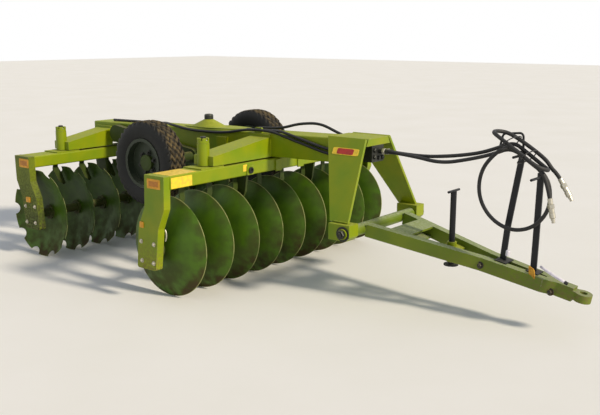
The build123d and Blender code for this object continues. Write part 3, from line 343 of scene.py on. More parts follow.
def evaluatedMesh(obj):
    bpy.context.view_layer.update()
    return bpy.data.meshes.new_from_object(obj.evaluated_get(bpy.context.evaluated_depsgraph_get()))


def addHose(name, places):
    # the line is read from the bare spline, then the same spline with a round section becomes the mesh
    line = splineObject(name, places)
    bare = evaluatedMesh(line)
    path = np.zeros(len(bare.vertices) * 3)
    bare.vertices.foreach_get("co", path)
    path = path.reshape(-1, 3)
    line.data.bevel_depth = hoses["radius"] / 1000
    line.data.bevel_resolution = hoses["sectionSteps"]
    line.data.use_fill_caps = True
    mesh = evaluatedMesh(line)
    bpy.data.objects.remove(line)
    mesh.polygons.foreach_set("use_smooth", np.ones(len(mesh.polygons), bool))
    mesh.materials.clear()
    mesh.materials.append(hoseCover)
    obj = bpy.data.objects.new(name, mesh)
    bpy.context.scene.collection.objects.link(obj)
    length = float(np.linalg.norm(np.diff(path, axis=0), axis=1).sum())
    return obj, path, length


# Quick couplers: crimped ferrule, hexagon, plated body and the plug's nose, as rings (radius, distance)
coupler = {
    "ferrule": [(10.6, -30), (13, -28), (13, -20), (12.2, -19), (12.2, -17), (13, -16), (13, 0), (12, 2)],
    "hexagon": [(16.5, 2), (17.5, 3.5), (17.5, 20), (16.5, 22)],
    "body": [(12, 22), (14.5, 23), (14.5, 40), (13, 41), (13, 44), (15.5, 45), (15.5, 70),
             (14, 72), (11, 74)],
    "nose": [(9.5, 74), (10.5, 75), (10.5, 84), (8.2, 85), (8.2, 90), (9.6, 91), (9.6, 96), (8, 98)],
}


def addCoupler(name, route):
    before, last = np.array(route[-2:], float)
    made = []
    for part, sides in (("ferrule", 28), ("hexagon", 6), ("body", 28), ("nose", 28)):
        made.append(turnedPieces(name + part.capitalize(), coupler[part], [(last, last - before)], sides,
                                 zincPlate, "drawbar"))
    for piece in made:
        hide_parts("hose_couplers")
    return made


upperPlaces = np.vstack([hoses["upperRoute"], alongHank(hoses["upperFolds"]), hoses["upperEnd"]])
lowerPlaces = np.vstack([hoses["lowerRoute"], alongHank(hoses["lowerPass"]), hoses["loop"],
                         alongHank(hoses["secondPass"]), hoses["lowerEnd"]])
for name, places, replaced in (
    ("upperHose", upperPlaces, ("upper_hose", "hose_hank", "upper_hose_end")),
    ("lowerHose", lowerPlaces, ("lower_hose", "hose_loop", "lower_hose_end")),
):
    hose, path, length = addHose(name, places)
    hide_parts(*replaced)
    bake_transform(hose)
    couplerPieces = addCoupler(name + "Coupler", places)
    print(name, "length", round(length, 3))
print("hoses made")

# Surface materials, each on object coordinates in metres, so a scale of 1000 / mm gives features of that
# size. In the painted ones, soil is full at a share of the height that it is splashed to
coat = {"driftMm": 180, "speckMm": 14, "peelMm": 2.5, "soilFull": 0.25, "wornShare": 0.6, "soiledRough": 0.9}


def paintedSteel(name, base, deep, dust, soil, rough, soilTop, wearWidth, wearColour, dustShare=0.75,
                 metallic=0.0):
    # a sprayed coat: slow drifts of colour, orange peel, dust lying on the upward faces, soil splashed up to
    # soilTop metres, and edges rubbed to the primer or steel
    material, tree, place = newMaterial(name)
    normal = addNode(tree, "NewGeometry", output="Normal")
    up = addNode(tree, "SeparateXYZ", {"Vector": normal}, "Z")
    height = addNode(tree, "SeparateXYZ", {"Vector": place}, "Z")
    drift = addNode(tree, "TexNoise", {"Vector": place, "Scale": 1000 / coat["driftMm"], "Detail": 4.0})
    speck = addNode(tree, "TexNoise", {"Vector": place, "Scale": 1000 / coat["speckMm"], "Detail": 6.0})

    drifted = addNode(tree, "MapRange", {"Value": drift, "From Min": 0.35, "From Max": 0.7})
    paint = addNode(tree, "Mix", {"Factor": drifted, "A": colour(base), "B": colour(deep)}, **colourMix)

    level = addNode(tree, "MapRange", {"Value": up, "From Min": 0.55, "From Max": 0.95})
    dustSpeck = addNode(tree, "MapRange", {"Value": speck, "From Min": 0.25, "From Max": 0.65})
    onTop = addNode(tree, "Math", {0: level, 1: dustSpeck}, operation="MULTIPLY")
    dusted = addNode(tree, "Math", {0: onTop, 1: dustShare}, operation="MULTIPLY")
    dusty = addNode(tree, "Mix", {"Factor": dusted, "A": paint, "B": colour(dust)}, **colourMix)

    below = addNode(tree, "MapRange",
                    {"Value": height, "From Min": soilTop, "From Max": soilTop * coat["soilFull"]})
    soilSpeck = addNode(tree, "MapRange", {"Value": speck, "From Min": 0.38, "From Max": 0.6})
    low = addNode(tree, "Math", {0: below, 1: soilSpeck}, operation="MULTIPLY")
    soiled = addNode(tree, "Mix", {"Factor": low, "A": dusty, "B": colour(soil)}, **colourMix)

    bevel = addNode(tree, "Bevel", {"Radius": wearWidth}, samples=4)
    facing = addNode(tree, "VectorMath", {0: bevel, 1: normal}, "Value", operation="DOT_PRODUCT")
    edge = addNode(tree, "MapRange", {"Value": facing, "From Min": 0.985, "From Max": 0.86})
    wearSpeck = addNode(tree, "MapRange",
                        {"Value": speck, "From Min": 0.42, "From Max": 0.62, "To Max": coat["wornShare"]})
    rubbed = addNode(tree, "Math", {0: edge, 1: wearSpeck}, operation="MULTIPLY")
    surface = addNode(tree, "Mix", {"Factor": rubbed, "A": soiled, "B": colour(wearColour)}, **colourMix)

    peel = addNode(tree, "TexNoise", {"Vector": place, "Scale": 1000 / coat["peelMm"], "Detail": 2.0})
    skin = addNode(tree, "Bump", {"Height": peel, "Strength": 0.12, "Distance": 0.0008})
    lump = addNode(tree, "Bump", {"Height": low, "Normal": skin, "Strength": 0.25, "Distance": 0.0015})
    dirt = addNode(tree, "Math", {0: onTop, 1: low}, operation="MAXIMUM")
    dirtRough = addNode(tree, "MapRange", {"Value": dirt, "To Min": rough, "To Max": coat["soiledRough"]})
    paintRough = addNode(tree, "MapRange", {"Value": speck, "From Min": 0.3, "From Max": 0.8,
                                            "To Min": rough - 0.06, "To Max": rough + 0.1})
    gloss = addNode(tree, "Math", {0: dirtRough, 1: paintRough}, operation="MAXIMUM")
    shader = addNode(tree, "BsdfPrincipled", {"Base Color": surface, "Metallic": metallic, "Roughness": gloss,
                                              "Specular IOR Level": 0.32, "Normal": lump})
    return finishMaterial(material, shader)


# Air-dried green machinery enamel on rolled and welded plate: an even yellow-green with a soft gloss
greenEnamel = paintedSteel("airDriedEnamelOnPlate", base="#879204", deep="#708a08", dust="#b0b44c",
                           soil="#6f6238", wearColour="#a7a268", rough=0.4, soilTop=0.42, wearWidth=0.005)
# The same coat on the drawbar, which is stepped on: greyed by dust and rubbed along the top
walkedEnamel = paintedSteel("troddenEnamelOnChannel", base="#6f8018", deep="#58701a", dust="#a0aa8a",
                            soil="#71653f", wearColour="#9c9b80", rough=0.48, soilTop=0.4, wearWidth=0.006,
                            dustShare=0.95)
# Sand-cast spools and bearing housings dipped in the enamel: coarse skin, caked soil in the hollows
castIron = paintedSteel("enamelledSandCastIron", base="#3b4c14", deep="#2b3812", dust="#75744a",
                        soil="#54492e", wearColour="#7d7a55", rough=0.6, soilTop=0.5, wearWidth=0.004)
# Hangers and scrapers under the beams, the crank frame and the rock shaft, where soil flies: the enamel
# painted darker, which paints the deep shade they sit in, with soil splashed up to 0.6 m
shadeDarkenedEnamel = paintedSteel("soiledEnamelOnBar", base="#3a4a12", deep="#2a3711", dust="#6f6c40",
                            soil="#4a4026", wearColour="#76744a", rough=0.58, soilTop=0.6, wearWidth=0.004)
# The rear gang runs in the front one's dust and soil and in the frame's shadow: the same enamel painted
# darker, which paints that shade on its end hangers, and browned higher up by the soil
shadedRearEnamel = paintedSteel("brownedEnamelOnPlate", base="#6d7a0c", deep="#4a5a12", dust="#a9ab58",
                           soil="#38371c", wearColour="#8d8a58", rough=0.5, soilTop=0.78, wearWidth=0.005)
# Wheel rims: rolled steel in grey-green enamel, dulled by road dirt
rimEnamel = paintedSteel("rolledRimEnamel", base="#313b2c", deep="#232b1f", dust="#6d715c",
                         soil="#5d5339", wearColour="#99a08c", rough=0.5, soilTop=0.3, wearWidth=0.003)
# Brushed-on black enamel of the hose stands and the jack's leg: near black with a bluish sheen
blackEnamel = paintedSteel("brushedBlackEnamel", base="#15181d", deep="#0f1216", dust="#4b4a45",
                           soil="#4d4433", wearColour="#5b5d60", rough=0.38, soilTop=0.25, wearWidth=0.003)
# Rolled bolts, pins and nuts left dark by the heat treatment, oiled and a little rusty
darkSteel = paintedSteel("oiledDarkBoltSteel", base="#3f413c", deep="#2c2e2b", dust="#6f6c5c",
                         soil="#5b4630", wearColour="#8d8f8c", rough=0.42, soilTop=0.4, wearWidth=0.002,
                         metallic=0.7)
print("enamels made")


def aroundAxle(tree, place, x, z):
    # the height over an axle that runs across the machine at drawing x and z, and the distance from it, which
    # is the root of the two squares
    axleX, _, axleZ = at((x, 0, z)).tolist()
    placeX = addNode(tree, "SeparateXYZ", {"Vector": place}, "X")
    placeZ = addNode(tree, "SeparateXYZ", {"Vector": place}, "Z")
    ahead = addNode(tree, "Math", {0: placeX, 1: axleX}, operation="SUBTRACT")
    above = addNode(tree, "Math", {0: placeZ, 1: axleZ}, operation="SUBTRACT")
    aboveSquare = addNode(tree, "Math", {0: above, 1: above}, operation="MULTIPLY")
    squares = addNode(tree, "Math", {0: ahead, 1: ahead, 2: aboveSquare}, operation="MULTIPLY_ADD")
    return above, addNode(tree, "Math", {0: squares}, operation="SQRT")


# Discs: places, radii and pattern sizes in mm, and the height over the axle, in metres, from which soil grows
# downwards and where it is full
discs = {"frontAxle": 690, "rearAxle": -690, "axleHeight": 305, "paint": "#46660f", "deep": "#395610",
         "soil": "#41381c", "polished": "#969a62", "soilFrom": 225, "soilFull": 300, "soilLow": (0.08, -0.28),
         "rimFrom": 301, "rimFull": 304, "patchMm": 70, "grainMm": 3, "ringMm": 9}


def makeDiscSteel(name, axleX):
    # pressed and hardened boron steel, sprayed green: rolled rings in the paint, soil growing towards the
    # cutting rim and low down, the last few millimetres ground bright
    material, tree, place = newMaterial(name)
    above, radius = aroundAxle(tree, place, axleX, discs["axleHeight"])
    patches = addNode(tree, "TexNoise", {"Vector": place, "Scale": 1000 / discs["patchMm"], "Detail": 6.0})
    grain = addNode(tree, "TexNoise", {"Vector": place, "Scale": 1000 / discs["grainMm"], "Detail": 3.0})

    darker = addNode(tree, "MapRange", {"Value": patches, "From Min": 0.35, "From Max": 0.68})
    paint = addNode(tree, "Mix", {"Factor": darker, "A": colour(discs["paint"]), "B": colour(discs["deep"])},
                    **colourMix)

    outward = addNode(tree, "MapRange", {"Value": radius, "From Min": discs["soilFrom"] / 1000,
                                         "From Max": discs["soilFull"] / 1000, "To Max": 0.5})
    downward = addNode(tree, "MapRange", {"Value": above, "From Min": discs["soilLow"][0],
                                          "From Max": discs["soilLow"][1], "To Max": 0.75})
    both = addNode(tree, "Math", {0: outward, 1: downward}, operation="ADD")
    soilPatch = addNode(tree, "MapRange", {"Value": patches, "From Min": 0.36, "From Max": 0.6})
    share = addNode(tree, "Math", {0: both, 1: soilPatch}, operation="MULTIPLY")
    soiled = addNode(tree, "Mix", {"Factor": share, "A": paint, "B": colour(discs["soil"])}, **colourMix)

    rim = addNode(tree, "MapRange", {"Value": radius, "From Min": discs["rimFrom"] / 1000,
                                     "From Max": discs["rimFull"] / 1000})
    rimPatch = addNode(tree, "MapRange", {"Value": patches, "From Min": 0.3, "From Max": 0.5})
    ground = addNode(tree, "Math", {0: rim, 1: rimPatch}, operation="MULTIPLY")
    surface = addNode(tree, "Mix", {"Factor": ground, "A": soiled, "B": colour(discs["polished"])},
                      **colourMix)

    turns = addNode(tree, "Math", {0: radius, 1: 2 * math.pi * 1000 / discs["ringMm"]}, operation="MULTIPLY")
    rings = addNode(tree, "Math", {0: turns}, operation="SINE")
    relief = addNode(tree, "Math", {0: rings, 1: 0.12, 2: grain}, operation="MULTIPLY_ADD")
    bump = addNode(tree, "Bump", {"Height": relief, "Strength": 0.18, "Distance": 0.0009})
    matt = addNode(tree, "Math", {0: grain, 1: 0.2, 2: share}, operation="MULTIPLY_ADD")
    gloss = addNode(tree, "MapRange", {"Value": matt, "From Max": 0.9, "To Min": 0.36, "To Max": 0.85})
    shader = addNode(tree, "BsdfPrincipled", {"Base Color": surface, "Roughness": gloss,
                                              "Specular IOR Level": 0.3, "Normal": bump})
    return finishMaterial(material, shader)


frontDiscSteel = makeDiscSteel("paintedBoronSteelFront", discs["frontAxle"])
rearDiscSteel = makeDiscSteel("paintedBoronSteelRear", discs["rearAxle"])
print("disc steel made")

# Wheels: the hub's place, the tyre's outer radius and the rubber's pattern sizes in mm, and its colours
wheel = {"x": 182.007, "z": 720.863, "y": 518, "radius": 273, "rubber": "#0a0c0c", "aged": "#141615",
         "soil": "#65583d", "soilFrom": 262, "patchMm": 45, "gritMm": 4}


def makeTyreRubber():
    # moulded carbon-black rubber: matt, with fine mould texture, brown field soil between and on the lugs
    material, tree, place = newMaterial("mouldedTyreRubber")
    _, radius = aroundAxle(tree, place, wheel["x"], wheel["z"])
    patches = addNode(tree, "TexNoise", {"Vector": place, "Scale": 1000 / wheel["patchMm"], "Detail": 5.0})
    grit = addNode(tree, "TexNoise", {"Vector": place, "Scale": 1000 / wheel["gritMm"], "Detail": 4.0})
    older = addNode(tree, "MapRange", {"Value": patches, "From Min": 0.35, "From Max": 0.7})
    rubber = addNode(tree, "Mix", {"Factor": older, "A": colour(wheel["rubber"]), "B": colour(wheel["aged"])},
                     **colourMix)
    onTread = addNode(tree, "MapRange", {"Value": radius, "From Min": wheel["soilFrom"] / 1000,
                                         "From Max": wheel["radius"] / 1000})
    gritty = addNode(tree, "Math", {0: grit, 1: 0.35, 2: patches}, operation="MULTIPLY_ADD")
    soilPatch = addNode(tree, "MapRange", {"Value": gritty, "From Min": 0.52, "From Max": 0.8})
    share = addNode(tree, "Math", {0: onTread, 1: soilPatch}, operation="MULTIPLY")
    surface = addNode(tree, "Mix", {"Factor": share, "A": rubber, "B": colour(wheel["soil"])}, **colourMix)
    bump = addNode(tree, "Bump", {"Height": grit, "Strength": 0.3, "Distance": 0.001})
    gloss = addNode(tree, "MapRange", {"Value": share, "To Min": 0.62, "To Max": 0.92})
    shader = addNode(tree, "BsdfPrincipled", {"Base Color": surface, "Roughness": gloss,
                                              "Specular IOR Level": 0.3, "Normal": bump})
    return finishMaterial(material, shader)


tyreRubber = makeTyreRubber()
film = {"fadeMm": 22, "creaseMm": 6}


def makeVinyl(name, fresh, faded, rough=0.35):
    # cast vinyl film: a clean colour, faded in patches and scuffed, with a smooth low sheen; moulded
    # polyethylene and woven webbing fade in the same way, and are rougher
    material, tree, place = newMaterial(name)
    fade = addNode(tree, "TexNoise", {"Vector": place, "Scale": 1000 / film["fadeMm"], "Detail": 6.0})
    share = addNode(tree, "MapRange", {"Value": fade, "From Min": 0.42, "From Max": 0.72})
    surface = addNode(tree, "Mix", {"Factor": share, "A": colour(fresh), "B": colour(faded)}, **colourMix)
    creases = addNode(tree, "TexNoise", {"Vector": place, "Scale": 1000 / film["creaseMm"], "Detail": 4.0})
    bump = addNode(tree, "Bump", {"Height": creases, "Strength": 0.1, "Distance": 0.0004})
    gloss = addNode(tree, "MapRange", {"Value": fade, "From Min": 0.3, "From Max": 0.7, "To Min": rough,
                                       "To Max": rough + 0.25})
    shader = addNode(tree, "BsdfPrincipled", {"Base Color": surface, "Roughness": gloss, "Normal": bump})
    return finishMaterial(material, shader)


orangeFilm = makeVinyl("fadedOrangeVinylFilm", "#e6a41a", "#c78c20")
yellowFilm = makeVinyl("yellowVinylTape", "#f4cf33", "#d0b23f")
redFilm = makeVinyl("redVinylFilm", "#b3291c", "#8c2d20")
brownFilm = makeVinyl("burntOrangeVinylFilm", "#c27c1c", "#a56a20")
whitePlastic = makeVinyl("mouldedWhitePolyethylene", "#e4e2ec", "#bdb6cf", rough=0.45)
orangeWebbing = makeVinyl("wovenOrangeWebbing", "#c9962b", "#9a6d20", rough=0.7)
print("rubber and films made")

# Which CAD nodes take which finish; the others are in green enamel
finishes = {}
for material, names in (
    (frontDiscSteel, ["front_discs"]),
    (rearDiscSteel, ["rear_discs"]),
    (tyreRubber, ["right_tyre", "left_tyre"]),
    (rimEnamel, ["right_rim", "left_rim"]),
    (blackEnamel, ["rear_hose_stand", "front_hose_stand", "jack_leg", "oil_pipes"]),
    (darkSteel, ["hydraulic_block", "front_axle", "rear_axle"]),
    (zincPlate, ["hose_couplers"]),
    (walkedEnamel, ["drawbar_hinge_tube", "drawbar_cross_plates", "hitch_nose", "right_drawbar_beam",
                    "left_drawbar_beam"]),
    (castIron, ["front_spools", "rear_spools", "front_bearings", "rear_bearings", "right_hub", "left_hub"]),
    # the parts under the beams take the darker enamel, which paints their deep shade
    (shadeDarkenedEnamel, ["front_scrapers", "rear_scrapers", "front_middle_hangers", "rear_middle_hangers",
                    "crank_frame", "rock_shaft"]),
    # the rear end hangers take the darker enamel, which paints their shade along with soil
    (shadedRearEnamel, ["rear_end_hangers"]),
    (hoseCover, ["upper_hose", "lower_hose", "hose_loop", "hose_hank", "upper_hose_end", "lower_hose_end"]),
):
    finishes.update(dict.fromkeys(names, material))
for name, node in nodes.items():
    node.data.materials.clear()
    node.data.materials.append(finishes.get(name, greenEnamel))
print("CAD nodes finished")

# Tyres: lugged implement tread over a plain sidewall. Lug sizes along the tread are shares of a lug's
# spacing, the rest is in mm, and a section's points are (radius, side)
tyre = {
    "wall": [(148, -55), (156, -62), (172, -70), (195, -75.5), (215, -76), (232, -75), (246, -70),
             (255, -62)],
    "inside": [(150, 50), (185, 60), (238, 56), (252, 0), (238, -56), (185, -60), (150, -50)],
    "steps": 442,
    "treadColumns": 45,
    "treadHalf": 62,
    "crown": 262,
    "crownDrop": 7,
    "crownPower": 2.4,
    "lugs": 34,
    "lugHeight": 13,
    "lugShare": 0.56,
    "lugFlank": 0.09,
    "lugsFrom": 240,
    "waves": 1.5,
    "waveStart": 0.25,
    "slant": 0.8,
    "grooveAt": 21,
    "grooveHalf": 2,
    "grooveFlank": 2,
    "shoulder": 10,
    "shoulderFlank": 8,
}


def addTyre(name, way, body):
    # the section's points turned about the wheel's axis; over the tread, the radius gains the lug height
    # where the angle, counted in lugs and slanted by a zigzag of the distance from the middle, is in a lug
    side = np.linspace(-tyre["treadHalf"], tyre["treadHalf"], tyre["treadColumns"])
    drop = tyre["crownDrop"] * (np.abs(side) / tyre["treadHalf"]) ** tyre["crownPower"]
    tread = np.stack([tyre["crown"] - drop, side], 1)
    wall = np.array(tyre["wall"], float)
    section = np.vstack([wall, tread[1:-1], wall[::-1] * [1, -1], tyre["inside"]])
    base, y = section[None, :, 0], section[None, :, 1]
    angle = np.linspace(0, 2 * np.pi, tyre["steps"], endpoint=False)[:, None]
    zigzag = np.abs((np.abs(y) / tyre["treadHalf"] * tyre["waves"] + tyre["waveStart"]) % 1.0 - 0.5) * 2
    phase = (angle * tyre["lugs"] / (2 * np.pi) + (y > 0) * 0.5 + zigzag * tyre["slant"]) % 1.0
    lug = np.clip((tyre["lugShare"] / 2 - np.abs(phase - 0.5)) / tyre["lugFlank"] + 0.5, 0, 1)
    groove = np.clip((np.abs(np.abs(y) - tyre["grooveAt"]) - tyre["grooveHalf"]) / tyre["grooveFlank"], 0, 1)
    shoulder = np.clip((tyre["treadHalf"] + tyre["shoulder"] - np.abs(y)) / tyre["shoulderFlank"], 0, 1)
    outside = np.arange(len(section)) < len(section) - len(tyre["inside"])
    lift = tyre["lugHeight"] * lug * groove * shoulder * (outside & (base > tyre["lugsFrom"]))
    radius = base + np.minimum(lift, wheel["radius"] - base)
    points = np.stack([wheel["x"] + radius * np.cos(angle),
                       np.broadcast_to(way * wheel["y"] + y, radius.shape),
                       wheel["z"] + radius * np.sin(angle)], -1)
    faces = gridFaces(tyre["steps"], len(section), closed=True)
    return meshPiece(name, at(points), faces, tyreRubber, body)


for name, way in (("right", -1), ("left", 1)):
    made = addTyre(name + "LuggedTyre", way, name + "_wheel")
    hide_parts(name + "_tyre")
print("tyres made")

# Tower legs: plates cut to a taper, their foot seated on the drawbar bracket and their top under the head.
# Each end is (distance to the side, height, back edge, fore edge)
legs = {
    "foot": (372, 492, 1528, 1656),
    "head": (124, 942, 1330, 1602),
    "plate": 18,
    "cutEdge": 2.5,
}


def addLeg(name, way):
    # four corners of the taper, each moved half the plate's thickness to both sides of its middle plane
    footSide, footZ, footBack, footFore = legs["foot"]
    headSide, headZ, headBack, headFore = legs["head"]
    corners = np.array([(footBack, way * footSide, footZ), (footFore, way * footSide, footZ),
                        (headFore, way * headSide, headZ), (headBack, way * headSide, headZ)], float)
    out = way * np.cross(corners[3] - corners[0], [1.0, 0.0, 0.0])
    out /= np.linalg.norm(out)
    points = np.vstack([corners + out * legs["plate"] / 2, corners - out * legs["plate"] / 2])
    faces = [(0, 1, 2, 3), (7, 6, 5, 4), (0, 4, 5, 1), (1, 5, 6, 2), (2, 6, 7, 3), (3, 7, 4, 0)]
    if way > 0:  # the left leg mirrors the right one, and so do its faces
        faces = [face[::-1] for face in faces]
    obj = meshPiece(name, at(points), faces, greenEnamel, "frame", smooth=False)
    bevel = obj.modifiers.new("cutEdge", "BEVEL")
    bevel.width = legs["cutEdge"] / 1000
    bevel.segments = 2
    return obj, corners, out


legSides = {}
for name, way in (("right", -1), ("left", 1)):
    piece, corners, out = addLeg(name + "TaperedLeg", way)
    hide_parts(name + "_tower_leg")
    legSides[name] = (corners, out)
print("legs made")

# The gangs in drawing mm: 1 ahead of the machine's middle and -1 behind it, the outer faces of the end
# hangers on both sides, the foot and the top of the beam, and the pivot
gangs = {
    "front": {"way": 1, "rightFace": -1025, "leftFace": 1070, "beamFoot": 680, "beamTop": 760,
              "pivot": (780, -630)},
    "rear": {"way": -1, "rightFace": -835, "leftFace": 1260, "beamFoot": 628, "beamTop": 708,
             "pivot": (-780, -500)},
}

# Weld beads: hand-laid fillets, a rounded cord of weld metal with ripples every few millimetres
beads = {
    "radius": 4.5,
    "postRadius": 4,
    "step": 3,
    "ripple": 7,
    "taper": 6,
    "hangerEdges": (860, 700),
    "hangerIn": 50,
    "postHalf": 42,
    "gap": 2,
    "legHead": (12, 0, -44),
    "footBack": (24, 0, 3),
    "footFore": (-6, 0, 3),
    "thin": 0.88,
    "swell": 0.16,
    "tip": 0.25,
    "sides": 10,
    "reference": (0.3, 0.5, 0.8),
}


def weldBead(name, start, end, body, radius=beads["radius"]):
    # radius * (thin + swell * |sin|) round a straight run, pinched to a tip at both ends
    start, end = np.array(start, float), np.array(end, float)
    length = np.linalg.norm(end - start)
    share = np.linspace(0, 1, max(12, int(length / beads["step"])))
    path = start + share[:, None] * (end - start)
    ripple = beads["thin"] + beads["swell"] * np.abs(np.sin(share * length / beads["ripple"] * np.pi))
    pinch = np.clip(np.minimum(share, 1 - share) * length / beads["taper"], beads["tip"], 1)
    return tubeAlong(name, path, radius * ripple * pinch, beads["sides"], greenEnamel, body,
                     beads["reference"])


for side, (corners, out) in legSides.items():
    half = out * legs["plate"] / 2
    for number, shift in ((1, half), (2, -half)):
        weldBead(side + "LegFootBead" + str(number), corners[0] + shift + beads["footBack"],
                 corners[1] + shift + beads["footFore"], "frame")
    weldBead(side + "LegHeadBead", corners[3] + half + beads["legHead"],
             corners[2] + half + np.multiply(beads["legHead"], (-1, 1, 1)), "frame")
for end, gang in gangs.items():
    for number, edge in enumerate(beads["hangerEdges"]):
        x, y = gang["way"] * edge, gang["rightFace"] + beads["hangerIn"]
        weldBead(end + "HangerBead" + str(number + 1), (x, y, gang["beamFoot"]),
                 (x, y, gang["beamTop"] - beads["gap"]), end + "_gang")
    (x, y), z = gang["pivot"], gang["beamTop"] + beads["gap"]
    weldBead(end + "PostBead", (x - beads["postHalf"], y - beads["postHalf"], z),
             (x + beads["postHalf"], y - beads["postHalf"], z), "frame", beads["postRadius"])
print("weld beads made")

# Bolt heads: hangers' bearing bolts, bracket pins and wheel nuts, with the width across their flats
bolts = {
    "hanger": [(657, 366), (764, 361), (758, 249), (660, 252)],
    "hangerAcross": 14,
    "bracketPin": (1645, 412, 440),
    "bracketPinAcross": 46,
    "studCircle": 66,
    "studTurns": np.arange(6) * 2 * np.pi / 6 + 0.3,
    "studOut": 22,
    "studAcross": 19,
}
for end, gang in gangs.items():
    spots = [((gang["way"] * x, face, z), (0, way, 0))
             for face, way in ((gang["rightFace"], -1), (gang["leftFace"], 1)) for x, z in bolts["hanger"]]
    hexHeads(end + "HangerBolt", spots, bolts["hangerAcross"], zincPlate, end + "_gang")
spots = [(np.multiply(bolts["bracketPin"], (1, way, 1)), (0, way, 0)) for way in (-1, 1)]
hexHeads("bracketPinBolt", spots, bolts["bracketPinAcross"], darkSteel, "frame")
for name, way in (("right", -1), ("left", 1)):
    y, circle = way * (wheel["y"] + bolts["studOut"]), bolts["studCircle"]
    spots = [((wheel["x"] + circle * math.cos(turn), y, wheel["z"] + circle * math.sin(turn)), (0, way, 0))
             for turn in bolts["studTurns"]]
    hexHeads(name + "WheelNut", spots, bolts["studAcross"], darkSteel, name + "_wheel")

# Fittings of the hydraulic block: two ports where the hoses start, and plugs in its fore face
ports = {
    "fitting": [(17, 0), (19.5, 1.5), (19.5, 16), (17.5, 18), (14, 18.5), (13, 34), (11.6, 36)],
    "fittingPlaces": [(1626, 54, 857), (1626, 14, 862)],
    "plug": [(13, 0), (13, 9), (10, 11), (5, 12)],
    "plugPlaces": [(1600, -35, 870), (1600, -35, 830), (1600, 10, 822), (1600, 48, 822)],
}
turnedPieces("portFittings", ports["fitting"], [(place, (1, 0, 0)) for place in ports["fittingPlaces"]], 6,
             zincPlate, "frame")
turnedPieces("blockPlugs", ports["plug"], [(place, (1, 0, 0)) for place in ports["plugPlaces"]], 6, darkSteel,
             "frame")
print("bolts made")

# Plain films and plates: blank labels, reflectors, tape on the beam's end, straps and a lug's plate. Each is
# a centre, half its length, half its width, thickness, finish, gang, squareness of its corners and dome
flatPieces = {
    "frontLabel": ((776, -1025, 713), (54, 0, 0), (0, 0, 28), 1.6, orangeFilm, "front_gang", 0.12, 0),
    "frontLabelPanel": ((776, -1026.4, 713), (38.88, 0, 0), (0, 0, 15.4), 0.8, brownFilm, "front_gang",
                        0.12, 0),
    "rearLabel": ((-756, -835, 661), (54, 0, 0), (0, 0, 30), 1.6, orangeFilm, "rear_gang", 0.12, 0),
    "rearLabelPanel": ((-756, -836.4, 661), (38.88, 0, 0), (0, 0, 16.5), 0.8, brownFilm, "rear_gang",
                       0.12, 0),
    "frontReflector": ((667, -1025, 465), (16, 0, 0), (0, 0, 18), 5, orangeFilm, "front_gang", 0.3, 3),
    "rearReflector": ((-728, -835, 409), (24, 0, 0), (0, 0, 19), 5, orangeFilm, "rear_gang", 0.3, 3),
    "endTapeFront": ((860, -888, 717), (0, 82, 0), (0, 0, 31), 1.2, yellowFilm, "front_gang", 0.04, 0),
    "endTapeTop": ((780, -865, 760), (72, 0, 0), (0, 105, 0), 1.2, yellowFilm, "front_gang", 0.04, 0),
    "beamMark": ((860, -352, 730), (0, 17, 0), (0, 0, 21), 1.6, yellowFilm, "front_gang", 0.16, 0),
    "beamLugPlate": ((860, -310, 712), (0, 30, 0), (0, 0, 29), 9, greenEnamel, "front_gang", 0.1, 0),
    "beamStrapRight": ((860, -34, 713), (0, 29, 0), (0, 0, 39), 9, greenEnamel, "front_gang", 0.1, 0),
    "beamStrapLeft": ((860, 195, 713), (0, 31, 0), (0, 0, 39), 9, greenEnamel, "front_gang", 0.1, 0),
}
for name, (centre, along, up, thickness, finish, body, square, dome) in flatPieces.items():
    roundedPlate(name, centre, along, up, thickness, finish, body, square, dome)
turnedPieces("beamLugEye", [(20, 0), (20, 10), (12, 10.5), (11, 4)], [((868, -310, 712), (1, 0, 0))], 24,
             darkSteel, "front_gang")

# The blank two-colour plate on the right leg: how far ahead, how far up the leg's slope, and half sizes
blankPlate = {"ahead": 1490, "upLeg": 424, "half": (92, 22), "panelHalf": (58, 18), "panelOut": 2.2}
legCorners, legOut = legSides["right"]
upLeg = (legCorners[3] - legCorners[0]) * [0, 1, 1]
upLeg /= np.linalg.norm(upLeg)
plateCentre = (legCorners[0] * [0, 1, 1] + (blankPlate["ahead"], 0, 0) + upLeg * blankPlate["upLeg"]
               + legOut * legs["plate"] / 2)
for name, out, half, thickness, finish in (
    ("blankPlate", 0, blankPlate["half"], 2.4, yellowFilm),
    ("blankPlatePanel", blankPlate["panelOut"], blankPlate["panelHalf"], 1.2, redFilm),
):
    roundedPlate(name, plateCentre + legOut * out, (half[0], 0, 0), upLeg * half[1], thickness, finish,
                 "frame", square=0.2)
print("films and plates made")

# Pins: the beam pin's dark cap, and the stud ends of the gang pivots with their cotter pins
pins = {
    "cap": [(29, -34), (31, -32), (31, -8), (27, 0), (10, 3)],
    "capPlace": (213, 0),
    "stud": [(17, -14), (17, 6), (14, 10), (5, 11)],
    "cotter": [(-36, 6, -8), (-20, 0, -8), (20, 0, -8), (38, -8, -12)],
    "cotterRadius": 3,
}
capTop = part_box("beam_pin_cap")[1][2] * 1000
turnedPieces("beamPinCap", pins["cap"], [((*pins["capPlace"], capTop), (0, 0, 1))], 32, darkSteel, "frame")
for end, gang in gangs.items():
    nutTop = (*gang["pivot"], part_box(end + "_pivot_pins")[1][2] * 1000)
    turnedPieces(end + "StudEnd", pins["stud"], [(nutTop, (0, 0, 1))], 24, darkSteel, end + "_gang")
    tubeAlong(end + "CotterPin", np.add(pins["cotter"], nutTop), pins["cotterRadius"], 10, zincPlate,
              end + "_gang", (0, 0, 1))

